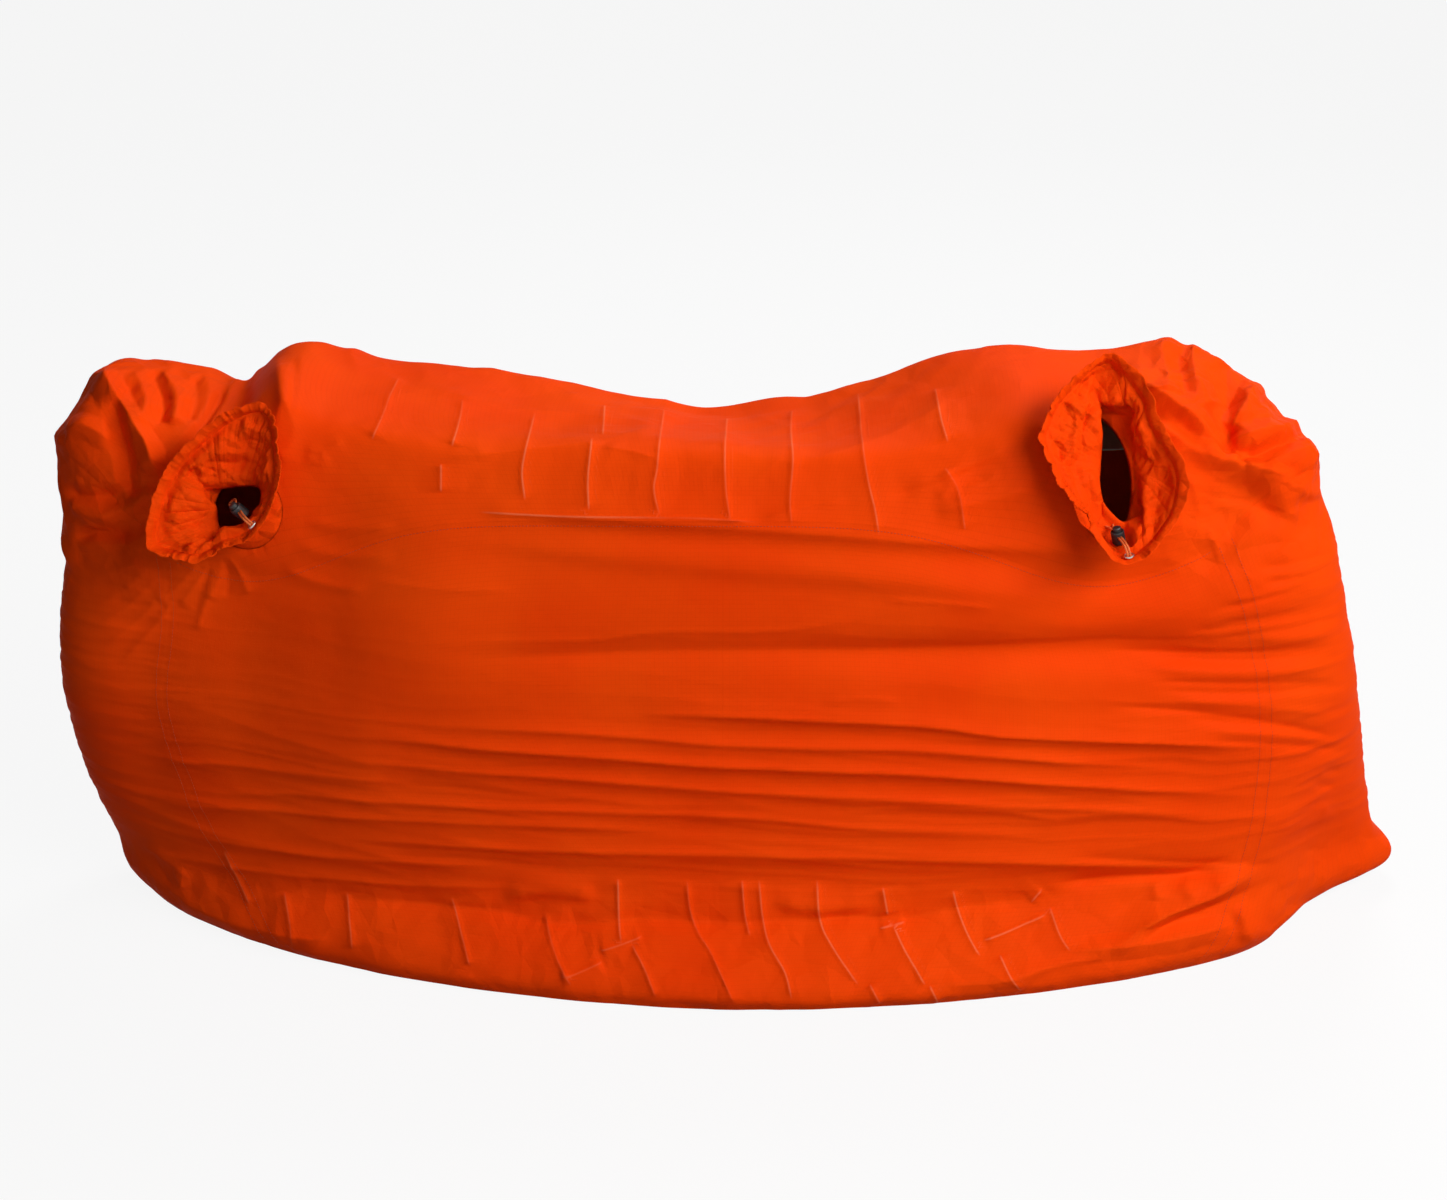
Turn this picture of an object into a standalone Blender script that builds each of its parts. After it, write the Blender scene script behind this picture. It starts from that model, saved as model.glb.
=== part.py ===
"""Survival shelter: a fabric bag without poles, standing as two sitters hold it up.

Metres, +Z up, +X along the length. The front, with both vents, faces -Y.
The bag is cut as a box: two long walls, two ends and a roof, and its bottom edge is
turned in on the floor. One wrap function gives the walls and one dome function the
roof, so neighbouring panels share their seam line exactly.
"""

import math
from dataclasses import dataclass

import bmesh
import bpy
import numpy as np
from mathutils import Matrix, Vector

# Cut sizes of the bag
CUT_LENGTH = 1.40
CUT_DEPTH = 0.45

# Shift that puts the origin under the middle of the outer bounds
MIDDLE = (-0.02419, 0.02921, 0.0)

# Fabric shells: the real cloth is 0.08 mm, its solid here is thick enough to hold together
CLOTH = 0.0025
SEAM_GAP = 0.0015
TAPE = 0.0012
TAPE_LIFT = 0.0012
TAPE_LIFT_END = 0.0030
TAPE_HALF = 0.010
HEM = 0.0020

# Drawcord and cord lock
CORD_D = 0.0025
STRAND_STEP = 0.0030
COLLAR = 0.0016
CHANNEL_HALF = 0.0085
CHANNEL_THICK = 0.0074
CHANNEL_WALL = 0.0011
FLARE = math.radians(57.0)
EYELET_OUTER = 0.0064
EYELET_INNER = 0.0039
LOCK_R = 0.0078
LOCK_LOW = -0.0105
LOCK_TOP = 0.0060
LOCK_BORE = 0.0054
LOCK_FLOOR = 0.0020
SLOT_HALF_WIDTH = 0.0032
SLOT_HALF_HEIGHT = 0.0016
PLUNGER_R = 0.0050
PLUNGER_LOW = -0.0032
PLUNGER_TOP = 0.0110
PLUNGER_TRAVEL = 0.0035
SPRING_R = 0.0036
SPRING_WIRE = 0.0005
SPRING_TURNS = 3.5
TAIL_START = 0.012
TAIL_LIFT = 0.0172
LOCK_AT = 0.019
STRAIGHT_RUN = 0.038
TAIL_LOOP = 0.025
RING_STATIONS = 30

# Grids of the panels
COLUMNS_LONG = 24
COLUMNS_SHORT = 11
ROOF_DEPTH = 0.40
WALL_HEIGHT = 0.62

ORANGE = (0.76, 0.085, 0.012, 1.0)
ORANGE_DARK = (0.62, 0.055, 0.010, 1.0)
TAPE_GREY = (0.55, 0.30, 0.22, 1.0)
BLACK = (0.012, 0.012, 0.013, 1.0)
STEEL = (0.56, 0.56, 0.57, 1.0)
ELASTIC = (0.80, 0.13, 0.02, 1.0)


@dataclass(frozen=True)
class Level:
    """One plan loop of the walls: how far it reaches from the middle on each side."""

    at: float
    height: float
    left: float
    right: float
    front: float
    back: float
    squareness: float


LEVELS = (
    Level(0.00, 0.000, 0.762, 0.815, 0.292, 0.235, 1.80),
    Level(0.03, 0.016, 0.776, 0.834, 0.298, 0.240, 1.80),
    Level(0.14, 0.085, 0.796, 0.842, 0.224, 0.205, 2.10),
    Level(0.30, 0.190, 0.818, 0.822, 0.198, 0.190, 2.60),
    Level(0.50, 0.320, 0.828, 0.794, 0.184, 0.180, 3.00),
    Level(0.75, 0.460, 0.808, 0.753, 0.165, 0.175, 3.10),
    Level(1.00, 0.585, 0.806, 0.716, 0.140, 0.165, 2.90),
)

# The roof's highest line from left to right: x, y, z
RIDGE = (
    (-0.80, 0.05, 0.672), (-0.75, 0.05, 0.722), (-0.70, 0.06, 0.708), (-0.635, 0.06, 0.684),
    (-0.585, 0.06, 0.662), (-0.545, 0.05, 0.708), (-0.51, 0.05, 0.720), (-0.46, 0.06, 0.699),
    (-0.33, 0.09, 0.670), (-0.18, 0.12, 0.637), (-0.02, 0.13, 0.607), (0.10, 0.11, 0.628),
    (0.20, 0.09, 0.662), (0.30, 0.07, 0.698), (0.345, 0.06, 0.710), (0.45, 0.06, 0.697),
    (0.57, 0.06, 0.712), (0.62, 0.06, 0.702), (0.66, 0.05, 0.688), (0.716, 0.03, 0.650),
)


def spline(xs, ys, x):
    """Smooth curve through the given points, by cubic pieces with averaged slopes."""
    xs = np.asarray(xs, float)
    ys = np.asarray(ys, float)
    step = np.diff(xs)
    slope = np.diff(ys) / step
    tangent = np.empty_like(ys)
    tangent[0] = slope[0]
    tangent[-1] = slope[-1]
    tangent[1:-1] = (slope[:-1] * step[1:] + slope[1:] * step[:-1]) / (step[1:] + step[:-1])
    x = np.clip(x, xs[0], xs[-1])
    i = np.clip(np.searchsorted(xs, x, side="right") - 1, 0, len(xs) - 2)
    h = xs[i + 1] - xs[i]
    t = (x - xs[i]) / h
    start = (2 * t ** 3 - 3 * t ** 2 + 1) * ys[i] + (t ** 3 - 2 * t ** 2 + t) * h * tangent[i]
    end = (3 * t ** 2 - 2 * t ** 3) * ys[i + 1] + (t ** 3 - t ** 2) * h * tangent[i + 1]
    return start + end


def ramp(a, b, x):
    """Smooth step from 0 at a to 1 at b."""
    t = np.clip((x - a) / (b - a), 0.0, 1.0)
    return t * t * (3.0 - 2.0 * t)


def swell(x, centre, width):
    """Bell of height 1."""
    return np.exp(-((x - centre) / width) ** 2)


def loop_point(angle, left, right, front, back, n):
    """Point of a squarish oval; angle 0 is the right end, -90 degrees the front."""
    c = np.cos(angle)
    s = np.sin(angle)
    x = np.where(c < 0, left, right) * np.sign(c) * np.abs(c) ** (2.0 / n)
    y = np.where(s < 0, front, back) * np.sign(s) * np.abs(s) ** (2.0 / n)
    return x, y


def level_at(v, name):
    """One size of the wall loops at wall height v."""
    return spline([lv.at for lv in LEVELS], [getattr(lv, name) for lv in LEVELS], v)


def wrap_table():
    """Arc length round the loop at half height, for spacing the panels along it."""
    angle = np.linspace(0.0, 2.0 * math.pi, 4001)
    sizes = [level_at(0.5, k) for k in ("left", "right", "front", "back", "squareness")]
    x, y = loop_point(angle, *sizes)
    run = np.concatenate([[0.0], np.cumsum(np.hypot(np.diff(x), np.diff(y)))])
    return angle, run


WRAP_ANGLE, WRAP_RUN = wrap_table()


def wrap_angle(u):
    """u 0 to 1 is the front, 1 to 2 the right end, 2 to 3 the back, 3 to 4 the left end."""
    total = WRAP_RUN[-1]
    share = total / (2.0 * (CUT_LENGTH + CUT_DEPTH))
    long_side = CUT_LENGTH * share
    end = CUT_DEPTH * share
    stops = [-end / 2 - long_side, -end / 2, end / 2, end / 2 + long_side, 1.5 * end + long_side]
    run = np.mod(np.interp(np.mod(u, 4.0), [0, 1, 2, 3, 4], stops), total)
    return np.interp(run, WRAP_RUN, WRAP_ANGLE)


def brow_offset(x, y):
    """How far the top edge of the walls stands above or hangs below its mean height."""
    front = ramp(0.02, -0.06, y)
    left = ramp(-0.66, -0.80, x)
    right = ramp(0.56, 0.70, x)
    sag = -0.085 * swell(x, -0.57, 0.15) - 0.085 * swell(x, 0.45, 0.17)
    back = -0.02 * (1 - front) * (1 - left) * (1 - right)
    return front * sag * (1 - left) * (1 - right) + 0.055 * left + 0.03 * right + back


def front_relief(x, z):
    """Outward push of the front wall: the bulge of the knees and the long taut folds."""
    knees = 0.016 * swell(x, 0.47, 0.24) * swell(z, 0.50, 0.070)
    chest = 0.010 * swell(x, -0.38, 0.22) * swell(z, 0.47, 0.11)
    under = -0.010 * swell(z, 0.425 - 0.03 * x, 0.022) * ramp(0.0, 0.25, x) * ramp(0.74, 0.60, x)
    reach = ramp(-0.76, -0.45, x) * ramp(0.78, 0.55, x)
    fall = 0.036 * (x - 0.05)
    phase = (z + fall - 0.16) / 0.062
    band = ramp(0.10, 0.16, z + fall) * ramp(0.42, 0.33, z + fall)
    folds = 0.0075 * np.cos(2 * math.pi * phase) * band * reach
    return knees + chest + under + folds


def wall_shape(u, v):
    """Walls about their own middle: u runs round the bag, v 0 to 1 up, v below 0 inward on the floor."""
    u, v = np.broadcast_arrays(np.asarray(u, float), np.asarray(v, float))
    up = np.clip(v, 0.0, 1.0)
    sizes = [level_at(up, k) for k in ("left", "right", "front", "back", "squareness")]
    x, y = loop_point(wrap_angle(u), *sizes)
    z = level_at(up, "height")
    low = 1.0 - ramp(0.05, 0.55, up)
    y = y - 0.022 * (x / 0.8) * low * ramp(0.05, -0.15, y)
    y = y + 0.050 * swell(x, 0.775, 0.070) * low * ramp(0.02, -0.06, y)
    corner = swell(z, 0.035, 0.040) * swell(y, 0.035, 0.085) * ramp(0.60, 0.80, x)
    x = x + 0.042 * corner
    tuck = np.clip(-v, 0.0, 1.0)
    x = x * (1.0 - 0.18 * tuck)
    y = y * (1.0 - 0.55 * tuck)
    z = z + brow_offset(x, y) * ramp(0.35, 1.0, v)
    front = ramp(-0.02, -0.12, y) * ramp(0.02, 0.14, v)
    y = y - front_relief(x, z) * front * ramp(1.0, 0.86, v)
    return np.stack([x, y, z], -1)


def wall(u, v):
    """Point of the walls in the part's frame."""
    return wall_shape(u, v) + np.array(MIDDLE)


def roof(t, s):
    """Point of the roof in the part's frame."""
    return roof_shape(t, s) + np.array(MIDDLE)


def roof_shape(t, s):
    """Roof about the walls' middle: t 0 to 1 from left to right, s 0 to 1 from front to back."""
    t, s = np.broadcast_arrays(np.asarray(t, float), np.asarray(s, float))
    tt = t[..., None]
    ss = s[..., None]
    front = wall_shape(t, 1.0)
    back = wall_shape(3.0 - t, 1.0)
    left = wall_shape(4.0 - s, 1.0)
    right = wall_shape(1.0 + s, 1.0)
    corners = ((1 - tt) * (1 - ss) * wall_shape(0, 1.0) + tt * (1 - ss) * wall_shape(1, 1.0)
               + (1 - tt) * ss * wall_shape(3, 1.0) + tt * ss * wall_shape(2, 1.0))
    base = (1 - ss) * front + ss * back + (1 - tt) * left + tt * right - corners
    x = base[..., 0]
    y = base[..., 1]
    ridge = np.array(RIDGE)
    ridge_y = spline(ridge[:, 0], ridge[:, 1], x)
    ridge_z = spline(ridge[:, 0], ridge[:, 2], x)
    share = np.clip((ridge_y - front[..., 1]) / (back[..., 1] - front[..., 1]), 0.2, 0.9)
    across = 2.0 * s ** (np.log(0.5) / np.log(share)) - 1.0
    along = 2.0 * t - 1.0
    dome = (1 - np.abs(across) ** 2.3) ** 0.5 * (1 - np.abs(along) ** 12) ** (1 / 3)
    z = base[..., 2] + (ridge_z - base[..., 2]) * dome
    return np.stack([x, y, z], -1)


# Building helpers

def clear_scene():
    """Remove everything that the scene holds."""
    for item in list(bpy.data.objects):
        bpy.data.objects.remove(item, do_unlink=True)
    for mesh in list(bpy.data.meshes):
        bpy.data.meshes.remove(mesh)


def collection(name):
    """New collection under the scene."""
    made = bpy.data.collections.new(name)
    bpy.context.scene.collection.children.link(made)
    return made


def finish(name, colour, roughness, metallic=0.0):
    """Principled material of one part."""
    made = bpy.data.materials.new(name)
    made.use_nodes = True
    shader = made.node_tree.nodes["Principled BSDF"]
    shader.inputs["Base Color"].default_value = colour
    shader.inputs["Roughness"].default_value = roughness
    shader.inputs["Metallic"].default_value = metallic
    made.diffuse_color = colour
    return made


def add_object(name, mesh, home, material, smooth=40.0):
    """Object from a mesh, in its collection and with its material."""
    obj = bpy.data.objects.new(name, mesh)
    home.objects.link(obj)
    mesh.materials.clear()
    mesh.materials.append(material)
    if smooth:
        mesh.shade_smooth()
        mesh.set_sharp_from_angle(angle=math.radians(smooth))
    return obj


def grid_mesh(name, points, wrap=False):
    """Open sheet from rows of points; with wrap its last column joins the first."""
    rows, cols, _ = points.shape
    mesh = bpy.data.meshes.new(name)
    bm = bmesh.new()
    verts = [[bm.verts.new(points[i, j]) for j in range(cols)] for i in range(rows)]
    for i in range(rows - 1):
        for j in range(cols if wrap else cols - 1):
            k = (j + 1) % cols
            bm.faces.new((verts[i][j], verts[i][k], verts[i + 1][k], verts[i + 1][j]))
    bm.normal_update()
    bm.to_mesh(mesh)
    bm.free()
    return mesh


def thicken(obj, thickness, offset=-1.0):
    """Give an open sheet its thickness, behind its outer face."""
    mod = obj.modifiers.new("Solidify", "SOLIDIFY")
    mod.thickness = thickness
    mod.offset = offset
    mod.use_even_offset = True
    mod.use_quality_normals = True
    return mod


def behind(points, distance):
    """Grid of points set back by a distance from every facet that meets there."""
    across = points[:, 1:] - points[:, :-1]
    upward = points[1:] - points[:-1]
    facet = np.cross(across[:-1], upward[:, :-1]) + np.cross(across[1:], upward[:, 1:])
    facet /= np.linalg.norm(facet, axis=-1, keepdims=True)
    rows, cols, _ = points.shape
    total = np.zeros_like(points)
    for i in (0, 1):
        for j in (0, 1):
            total[i:rows - 1 + i, j:cols - 1 + j] += facet
    n = total / np.linalg.norm(total, axis=-1, keepdims=True)
    least = np.ones((rows, cols))
    for i in (0, 1):
        for j in (0, 1):
            part = (slice(i, rows - 1 + i), slice(j, cols - 1 + j))
            least[part] = np.minimum(least[part], (facet * n[part]).sum(-1))
    return points - n * (distance / np.clip(least, 0.5, 1.0))[..., None]


def cut(obj, cutter):
    """Cut one closed body out of another."""
    mod = obj.modifiers.new("Cut", "BOOLEAN")
    mod.operation = "DIFFERENCE"
    mod.solver = "EXACT"
    mod.object = cutter


def as_cutter(obj):
    """Hide a cutter from renders."""
    obj.hide_render = True
    obj.display_type = "WIRE"
    return obj


# Columns and rows of the panels

def long_columns():
    """Column places along a long panel, closer together near its ends."""
    edge = SEAM_GAP / 2 / CUT_LENGTH
    tape = TAPE_HALF / CUT_LENGTH
    inner = np.linspace(0.0, 1.0, COLUMNS_LONG - 2)
    eased = inner - 0.062 * np.sin(2 * math.pi * inner)
    return np.concatenate([[edge], tape + (1 - 2 * tape) * eased, [1 - edge]])


def short_columns():
    """Column places across an end panel, and row places across the roof."""
    edge = SEAM_GAP / 2 / ROOF_DEPTH
    tape = TAPE_HALF / ROOF_DEPTH
    inner = np.linspace(0.0, 1.0, COLUMNS_SHORT - 2)
    eased = inner - 0.08 * np.sin(2 * math.pi * inner)
    return np.concatenate([[edge], tape + (1 - 2 * tape) * eased, [1 - edge]])


def wall_rows():
    """Row places from the inner edge on the floor, round the fold and up the wall."""
    floor = [-1.0, -0.4, 0.0, 0.03, 0.085, 0.14]
    folds = list(np.linspace(0.20, 0.53, 8))
    upper = [0.61, 0.72, 0.84, 1.0 - TAPE_HALF / WALL_HEIGHT, 1.0 - SEAM_GAP / 2 / WALL_HEIGHT]
    return np.array(floor + folds + upper)


SIDES = (
    ("front", 0.0, long_columns),
    ("right_end", 1.0, short_columns),
    ("back", 2.0, long_columns),
    ("left_end", 3.0, short_columns),
)


def build_walls(home, materials):
    """The four wall panels, each with its bottom turned in on the floor."""
    rows = wall_rows()
    for side, start, columns in SIDES:
        points = wall(start + columns()[None, :], rows[:, None])
        name = side + "_panel"
        obj = add_object(name, grid_mesh(name, points), home, materials["cloth"])
        thicken(obj, CLOTH)


def build_roof(home, materials):
    """The roof panel, before its vent holes."""
    points = roof(long_columns()[None, :], short_columns()[:, None])
    mesh = grid_mesh("roof_panel", points)
    obj = add_object("roof_panel", mesh, home, materials["cloth"])
    thicken(obj, CLOTH)
    return obj


def seam_strip(name, points, home, material, inner, lift=TAPE_LIFT):
    """Tape behind a seam: a strip that follows the panels' own facets.

    The points reach one facet further than the tape on each side; inner is the tape's part.
    """
    lifted = behind(points, CLOTH + lift)[inner]
    obj = add_object(name, grid_mesh(name, lifted), home, material)
    thicken(obj, TAPE)


def build_corner_tapes(home, material):
    """Tapes behind the four corner seams."""
    rows = wall_rows()[4:-1]
    long_in = long_columns()[:3]
    short_in = short_columns()[:3]
    inner = (slice(1, -1), slice(1, -1))
    corners = (("front_left", 0.0, short_in, long_in), ("front_right", 1.0, long_in, short_in),
               ("back_right", 2.0, short_in, long_in), ("back_left", 3.0, long_in, short_in))
    for corner, at, before, after in corners:
        columns = np.concatenate([at - before[::-1], at + after])
        points = wall(np.mod(columns, 4.0)[None, :], rows[:, None])
        seam_strip(corner + "_seam_tape", points, home, material, inner)


def build_roof_tapes(home, material):
    """Tapes behind the seams between the roof and the four walls."""
    rows = wall_rows()[-3:]
    short_in = short_columns()[:3]
    long_in = long_columns()[:3]
    t = long_columns()[2:-2]
    s = short_columns()[2:-2]
    inner = (slice(1, -1), slice(1, -1))
    front = np.concatenate([wall(t[None, :], rows[:, None]), roof(t[None, :], short_in[:, None])])
    back = np.concatenate([wall(2.0 + t[None, :], rows[:, None]),
                           roof(1.0 - t[None, :], 1.0 - short_in[:, None])])
    right = np.concatenate([wall(1.0 + s[None, :], rows[:, None]),
                            roof(1.0 - long_in[:, None], s[None, :])])
    left = np.concatenate([wall(3.0 + s[None, :], rows[:, None]),
                           roof(long_in[:, None], 1.0 - s[None, :])])
    for side, points, lift in (("front", front, TAPE_LIFT), ("back", back, TAPE_LIFT),
                               ("right", right, TAPE_LIFT_END), ("left", left, TAPE_LIFT_END)):
        seam_strip("roof_" + side + "_seam_tape", points, home, material, inner, lift)


def build_hems(home, material):
    """The stitched hems, turned over on the inside edge of the cloth on the floor."""
    for side, start, columns in SIDES:
        inner = wall(start + columns()[None, :], np.array([-1.0])[:, None])[0]
        outer = wall(start + columns()[None, :], np.array([-0.87])[:, None])[0]
        points = np.stack([inner, outer])
        points[..., 2] = CLOTH + 0.0004
        mesh = grid_mesh(side + "_hem", points)
        mesh.flip_normals()
        obj = add_object(side + "_hem", mesh, home, material)
        thicken(obj, HEM, offset=1.0)


# Vents

@dataclass(frozen=True)
class Vent:
    """One vent: a funnel of cloth from a hole in the roof out to a rim with a drawcord.

    Pairs are half sizes across and up, in the plane of the rim.
    """

    side: str
    mouth: tuple
    axis: tuple
    lean: float
    ring: tuple
    hole: tuple
    shift: tuple
    cord_angle: float

    def frame(self):
        """Place of the rim: X across, Y up along it, Z out of the bag."""
        out = Vector(self.axis).normalized()
        up = (Vector((0, 0, 1)) - out * out.z).normalized()
        up = Matrix.Rotation(math.radians(self.lean), 3, out) @ up
        across = up.cross(out)
        turn = Matrix((across, up, out)).transposed().to_4x4()
        return Matrix.Translation(Vector(self.mouth)) @ turn

    def oval(self, size, phi, height=0.0, shift=(0.0, 0.0)):
        """Points of an oval in the frame of the rim."""
        return np.stack([shift[0] + size[0] * np.cos(phi), shift[1] + size[1] * np.sin(phi),
                         height + np.zeros_like(phi)], -1)

    def away(self, phi):
        """Direction in the rim's plane away from its middle, square to the ring."""
        n = np.stack([np.cos(phi) / self.ring[0], np.sin(phi) / self.ring[1], 0 * phi], -1)
        return n / np.linalg.norm(n, axis=-1, keepdims=True)

    def band(self, phi):
        """Direction in which the channel stands up from the funnel, toward its folded edge."""
        return self.away(phi) * math.cos(FLARE) + np.array((0, 0, math.sin(FLARE)))

    def face(self, phi):
        """Normal of the channel's inner face, toward the mouth."""
        return np.array((0, 0, math.cos(FLARE))) - self.away(phi) * math.sin(FLARE)

    def on_channel(self, phi, along_band, along_face):
        """Point of the channel's section in the frame of the rim."""
        return self.oval(self.ring, phi) + self.band(phi) * along_band + self.face(phi) * along_face


VENTS = (
    Vent("left", (-0.59819, -0.11779, 0.637), (-0.02, -0.88, 0.475), -34.0, (0.063, 0.106),
         (0.036, 0.040), (0.030, -0.016), -12.0),
    Vent("right", (0.41281, -0.10879, 0.659), (0.04, -0.85, 0.52), 8.0, (0.083, 0.118),
         (0.030, 0.070), (0.004, -0.010), -84.0),
)


def to_world(vent, points):
    """Points of the rim's frame in the world."""
    frame = np.array(vent.frame())
    return points @ frame[:3, :3].T + frame[:3, 3]


def panel_height(vent, phi):
    """Height in the rim's frame at which the hole's edge meets the roof, at each angle."""
    frame = np.array(vent.frame())
    start = to_world(vent, vent.oval(vent.hole, phi, 0.0, vent.shift))
    out = frame[:3, 2]
    t = np.full(phi.shape, 0.5 + 0.62 * (vent.mouth[0] - MIDDLE[0]))
    s = np.full(phi.shape, 0.2)
    h = np.full(phi.shape, -0.07)
    step = 1e-4
    for _ in range(60):
        here = roof(t, s)
        miss = start + h[:, None] * out - here
        along_t = (roof(t + step, s) - here) / step
        along_s = (roof(t, s + step) - here) / step
        system = np.stack([along_t, along_s, np.broadcast_to(-out, here.shape)], -1)
        change = np.linalg.solve(system, miss[..., None])[..., 0]
        t = np.clip(t + 0.6 * np.clip(change[:, 0], -0.05, 0.05), 0.03, 0.97)
        s = np.clip(s + 0.6 * np.clip(change[:, 1], -0.05, 0.05), 0.003, 0.9)
        h = h + 0.6 * np.clip(change[:, 2], -0.05, 0.05)
    return h


def build_collar(vent, home, material):
    """The funnel from the roof panel out to the drawcord channel, with its gathers."""
    phi = np.arange(RING_STATIONS) * 2 * math.pi / RING_STATIONS
    seam = panel_height(vent, phi)
    hole = np.array(vent.hole)
    shift = np.array(vent.shift)
    rim = vent.on_channel(phi, -CHANNEL_HALF - 0.0006, -COLLAR / 2)
    throat = vent.oval(hole - 0.0007, phi, seam + 0.008, shift)
    inside = vent.oval(hole - 0.0007, phi, seam - 0.009, shift)
    rows = [inside, throat]
    for share, bend in ((0.16, 0.010), (0.40, 0.014), (0.68, 0.009)):
        middle = throat * (1 - share) + rim * share
        rows.append(middle + vent.away(phi) * bend)
    rows.append(rim)
    points = np.stack(rows)
    zigzag = np.where(np.arange(RING_STATIONS) % 2 == 0, 1.0, -1.0)
    gather = np.array([0, 0, 0.0015, 0.0035, 0.0030, 0.0])
    points = points + vent.away(phi)[None] * gather[:, None, None] * zigzag[None, :, None]
    name = vent.side + "_vent_collar"
    mesh = grid_mesh(name, to_world(vent, points), wrap=True)
    obj = add_object(name, mesh, home, material, smooth=60.0)
    thicken(obj, COLLAR)
    return seam


def rim_axis(vent, home):
    """Empty on the line that the rim slides along; the rim's pieces hang on it."""
    empty = bpy.data.objects.new(vent.side + "_rim_axis", None)
    empty.empty_display_size = 0.05
    home.objects.link(empty)
    empty.matrix_world = vent.frame()
    return empty


def hang(piece, empty):
    """Parent a piece to an empty and leave it where it is."""
    place = piece.matrix_world.copy()
    piece.parent = empty
    piece.matrix_parent_inverse = empty.matrix_world.inverted()
    piece.matrix_world = place


def build_channel(vent, home, cutters, material):
    """The stitched casing along the rim, a folded band open where the collar's edge enters."""
    phi = np.arange(RING_STATIONS) * 2 * math.pi / RING_STATIONS
    half = CHANNEL_HALF
    thick = CHANNEL_THICK / 2
    section = ((-half, -thick * 0.92), (-half * 0.3, -thick), (half * 0.4, -thick),
               (half * 0.8, -thick * 0.75), (half, 0.0), (half * 0.8, thick * 0.75),
               (half * 0.4, thick), (-half * 0.3, thick), (-half, thick * 0.92))
    points = np.stack([vent.on_channel(phi, w, e) for w, e in section])
    name = vent.side + "_vent_channel"
    mesh = grid_mesh(name, to_world(vent, points), wrap=True)
    obj = add_object(name, mesh, home, material, smooth=60.0)
    thicken(obj, CHANNEL_WALL)
    mesh = bpy.data.meshes.new(name + "_cord_hole")
    bm = bmesh.new()
    bmesh.ops.create_cone(bm, cap_ends=True, segments=16, radius1=EYELET_INNER + 0.0013,
                          radius2=EYELET_INNER + 0.0013, depth=0.004)
    bm.to_mesh(mesh)
    bm.free()
    cutter = as_cutter(bpy.data.objects.new(name + "_cord_hole", mesh))
    cutters.objects.link(cutter)
    cutter.matrix_world = eyelet_frame(vent) @ Matrix.Translation((0, 0, thick - 0.0004))
    cut(obj, cutter)
    return obj


def eyelet_frame(vent):
    """Frame where the cord leaves: X along the ring, Y back toward the funnel, Z off the face."""
    phi = np.array([math.radians(vent.cord_angle)])
    back = -Vector(vent.band(phi)[0])
    off = Vector(vent.face(phi)[0])
    along = back.cross(off)
    turn = Matrix((along, back, off)).transposed().to_4x4()
    place = Matrix.Translation(Vector(vent.on_channel(phi, -0.002, 0.0)[0]))
    return vent.frame() @ place @ turn


def smooth_line(points, turn, step):
    """Points on a smooth open curve through the given ones, one for each turn or step."""
    fine = []
    ends = [points[0]] + list(points) + [points[-1]]
    for i in range(len(points) - 1):
        p0, p1, p2, p3 = (np.array(ends[i + k]) for k in range(4))
        for j in range(12):
            t = j / 12
            bend = (2 * p0 - 5 * p1 + 4 * p2 - p3) * t * t + (3 * p1 - p0 - 3 * p2 + p3) * t ** 3
            fine.append(0.5 * (2 * p1 + (p2 - p0) * t + bend))
    fine.append(np.array(points[-1]))
    kept = [fine[0]]
    turned_by = 0.0
    gone = 0.0
    for i in range(1, len(fine) - 1):
        before = Vector(fine[i] - fine[i - 1])
        after = Vector(fine[i + 1] - fine[i])
        turned_by += before.angle(after, 0.0)
        gone += before.length
        if turned_by > turn or gone > step:
            kept.append(fine[i])
            turned_by = 0.0
            gone = 0.0
    kept.append(fine[-1])
    return np.array(kept)


def cord_points(vent):
    """Points of the drawcord: round the ring, out of the eyelet, through the lock, and a loop."""
    frame = eyelet_frame(vent)
    side = STRAND_STEP / 2
    lift = TAIL_LIFT
    strand = [(0.0031, -0.0016, 0.0020), (0.0019, -0.0005, 0.0040), (side, 0.0, 0.0062),
              (side, 0.0, 0.0086), (side, 0.0017, 0.0125), (side, 0.0052, lift - 0.0014),
              (side, TAIL_START, lift)]
    strand += [(side, TAIL_START + k * STRAIGHT_RUN / 5, lift) for k in range(1, 6)]
    end = TAIL_START + STRAIGHT_RUN
    strand += [(0.0036, end + 0.007, lift), (0.0050, end + 0.014, lift), (0.0038, end + 0.021, lift)]
    tail = strand + [(0.0, end + TAIL_LOOP, lift)] + [(-x, y, z) for x, y, z in reversed(strand)]
    down = np.array(frame.to_3x3().inverted() @ Vector((0, 0, -1)))
    hung = [np.array(p) + down * max(0.0, p[1] - end) ** 2 * 7.0 for p in tail]
    world = [np.array(frame @ Vector(p)) for p in hung]
    leave = math.radians(vent.cord_angle)
    phi = leave + np.arange(RING_STATIONS + 1) * 2 * math.pi / RING_STATIONS
    ring = to_world(vent, vent.on_channel(phi, 0.0012, 0.0))
    if np.linalg.norm(ring[1] - world[0]) < np.linalg.norm(ring[-2] - world[0]):
        ring = ring[::-1]
    chord = np.linalg.norm(ring[1] - ring[0])
    after = [ring[0] + (ring[1] - ring[0]) * d / chord for d in (0.0052, 0.0068, 0.0100)]
    before = [ring[-1] + (ring[-2] - ring[-1]) * d / chord for d in (0.0100, 0.0068, 0.0052)]
    line = smooth_line(before + world + after, math.radians(17), 0.0085)
    return np.concatenate([line, ring[1:-1]])


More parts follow.
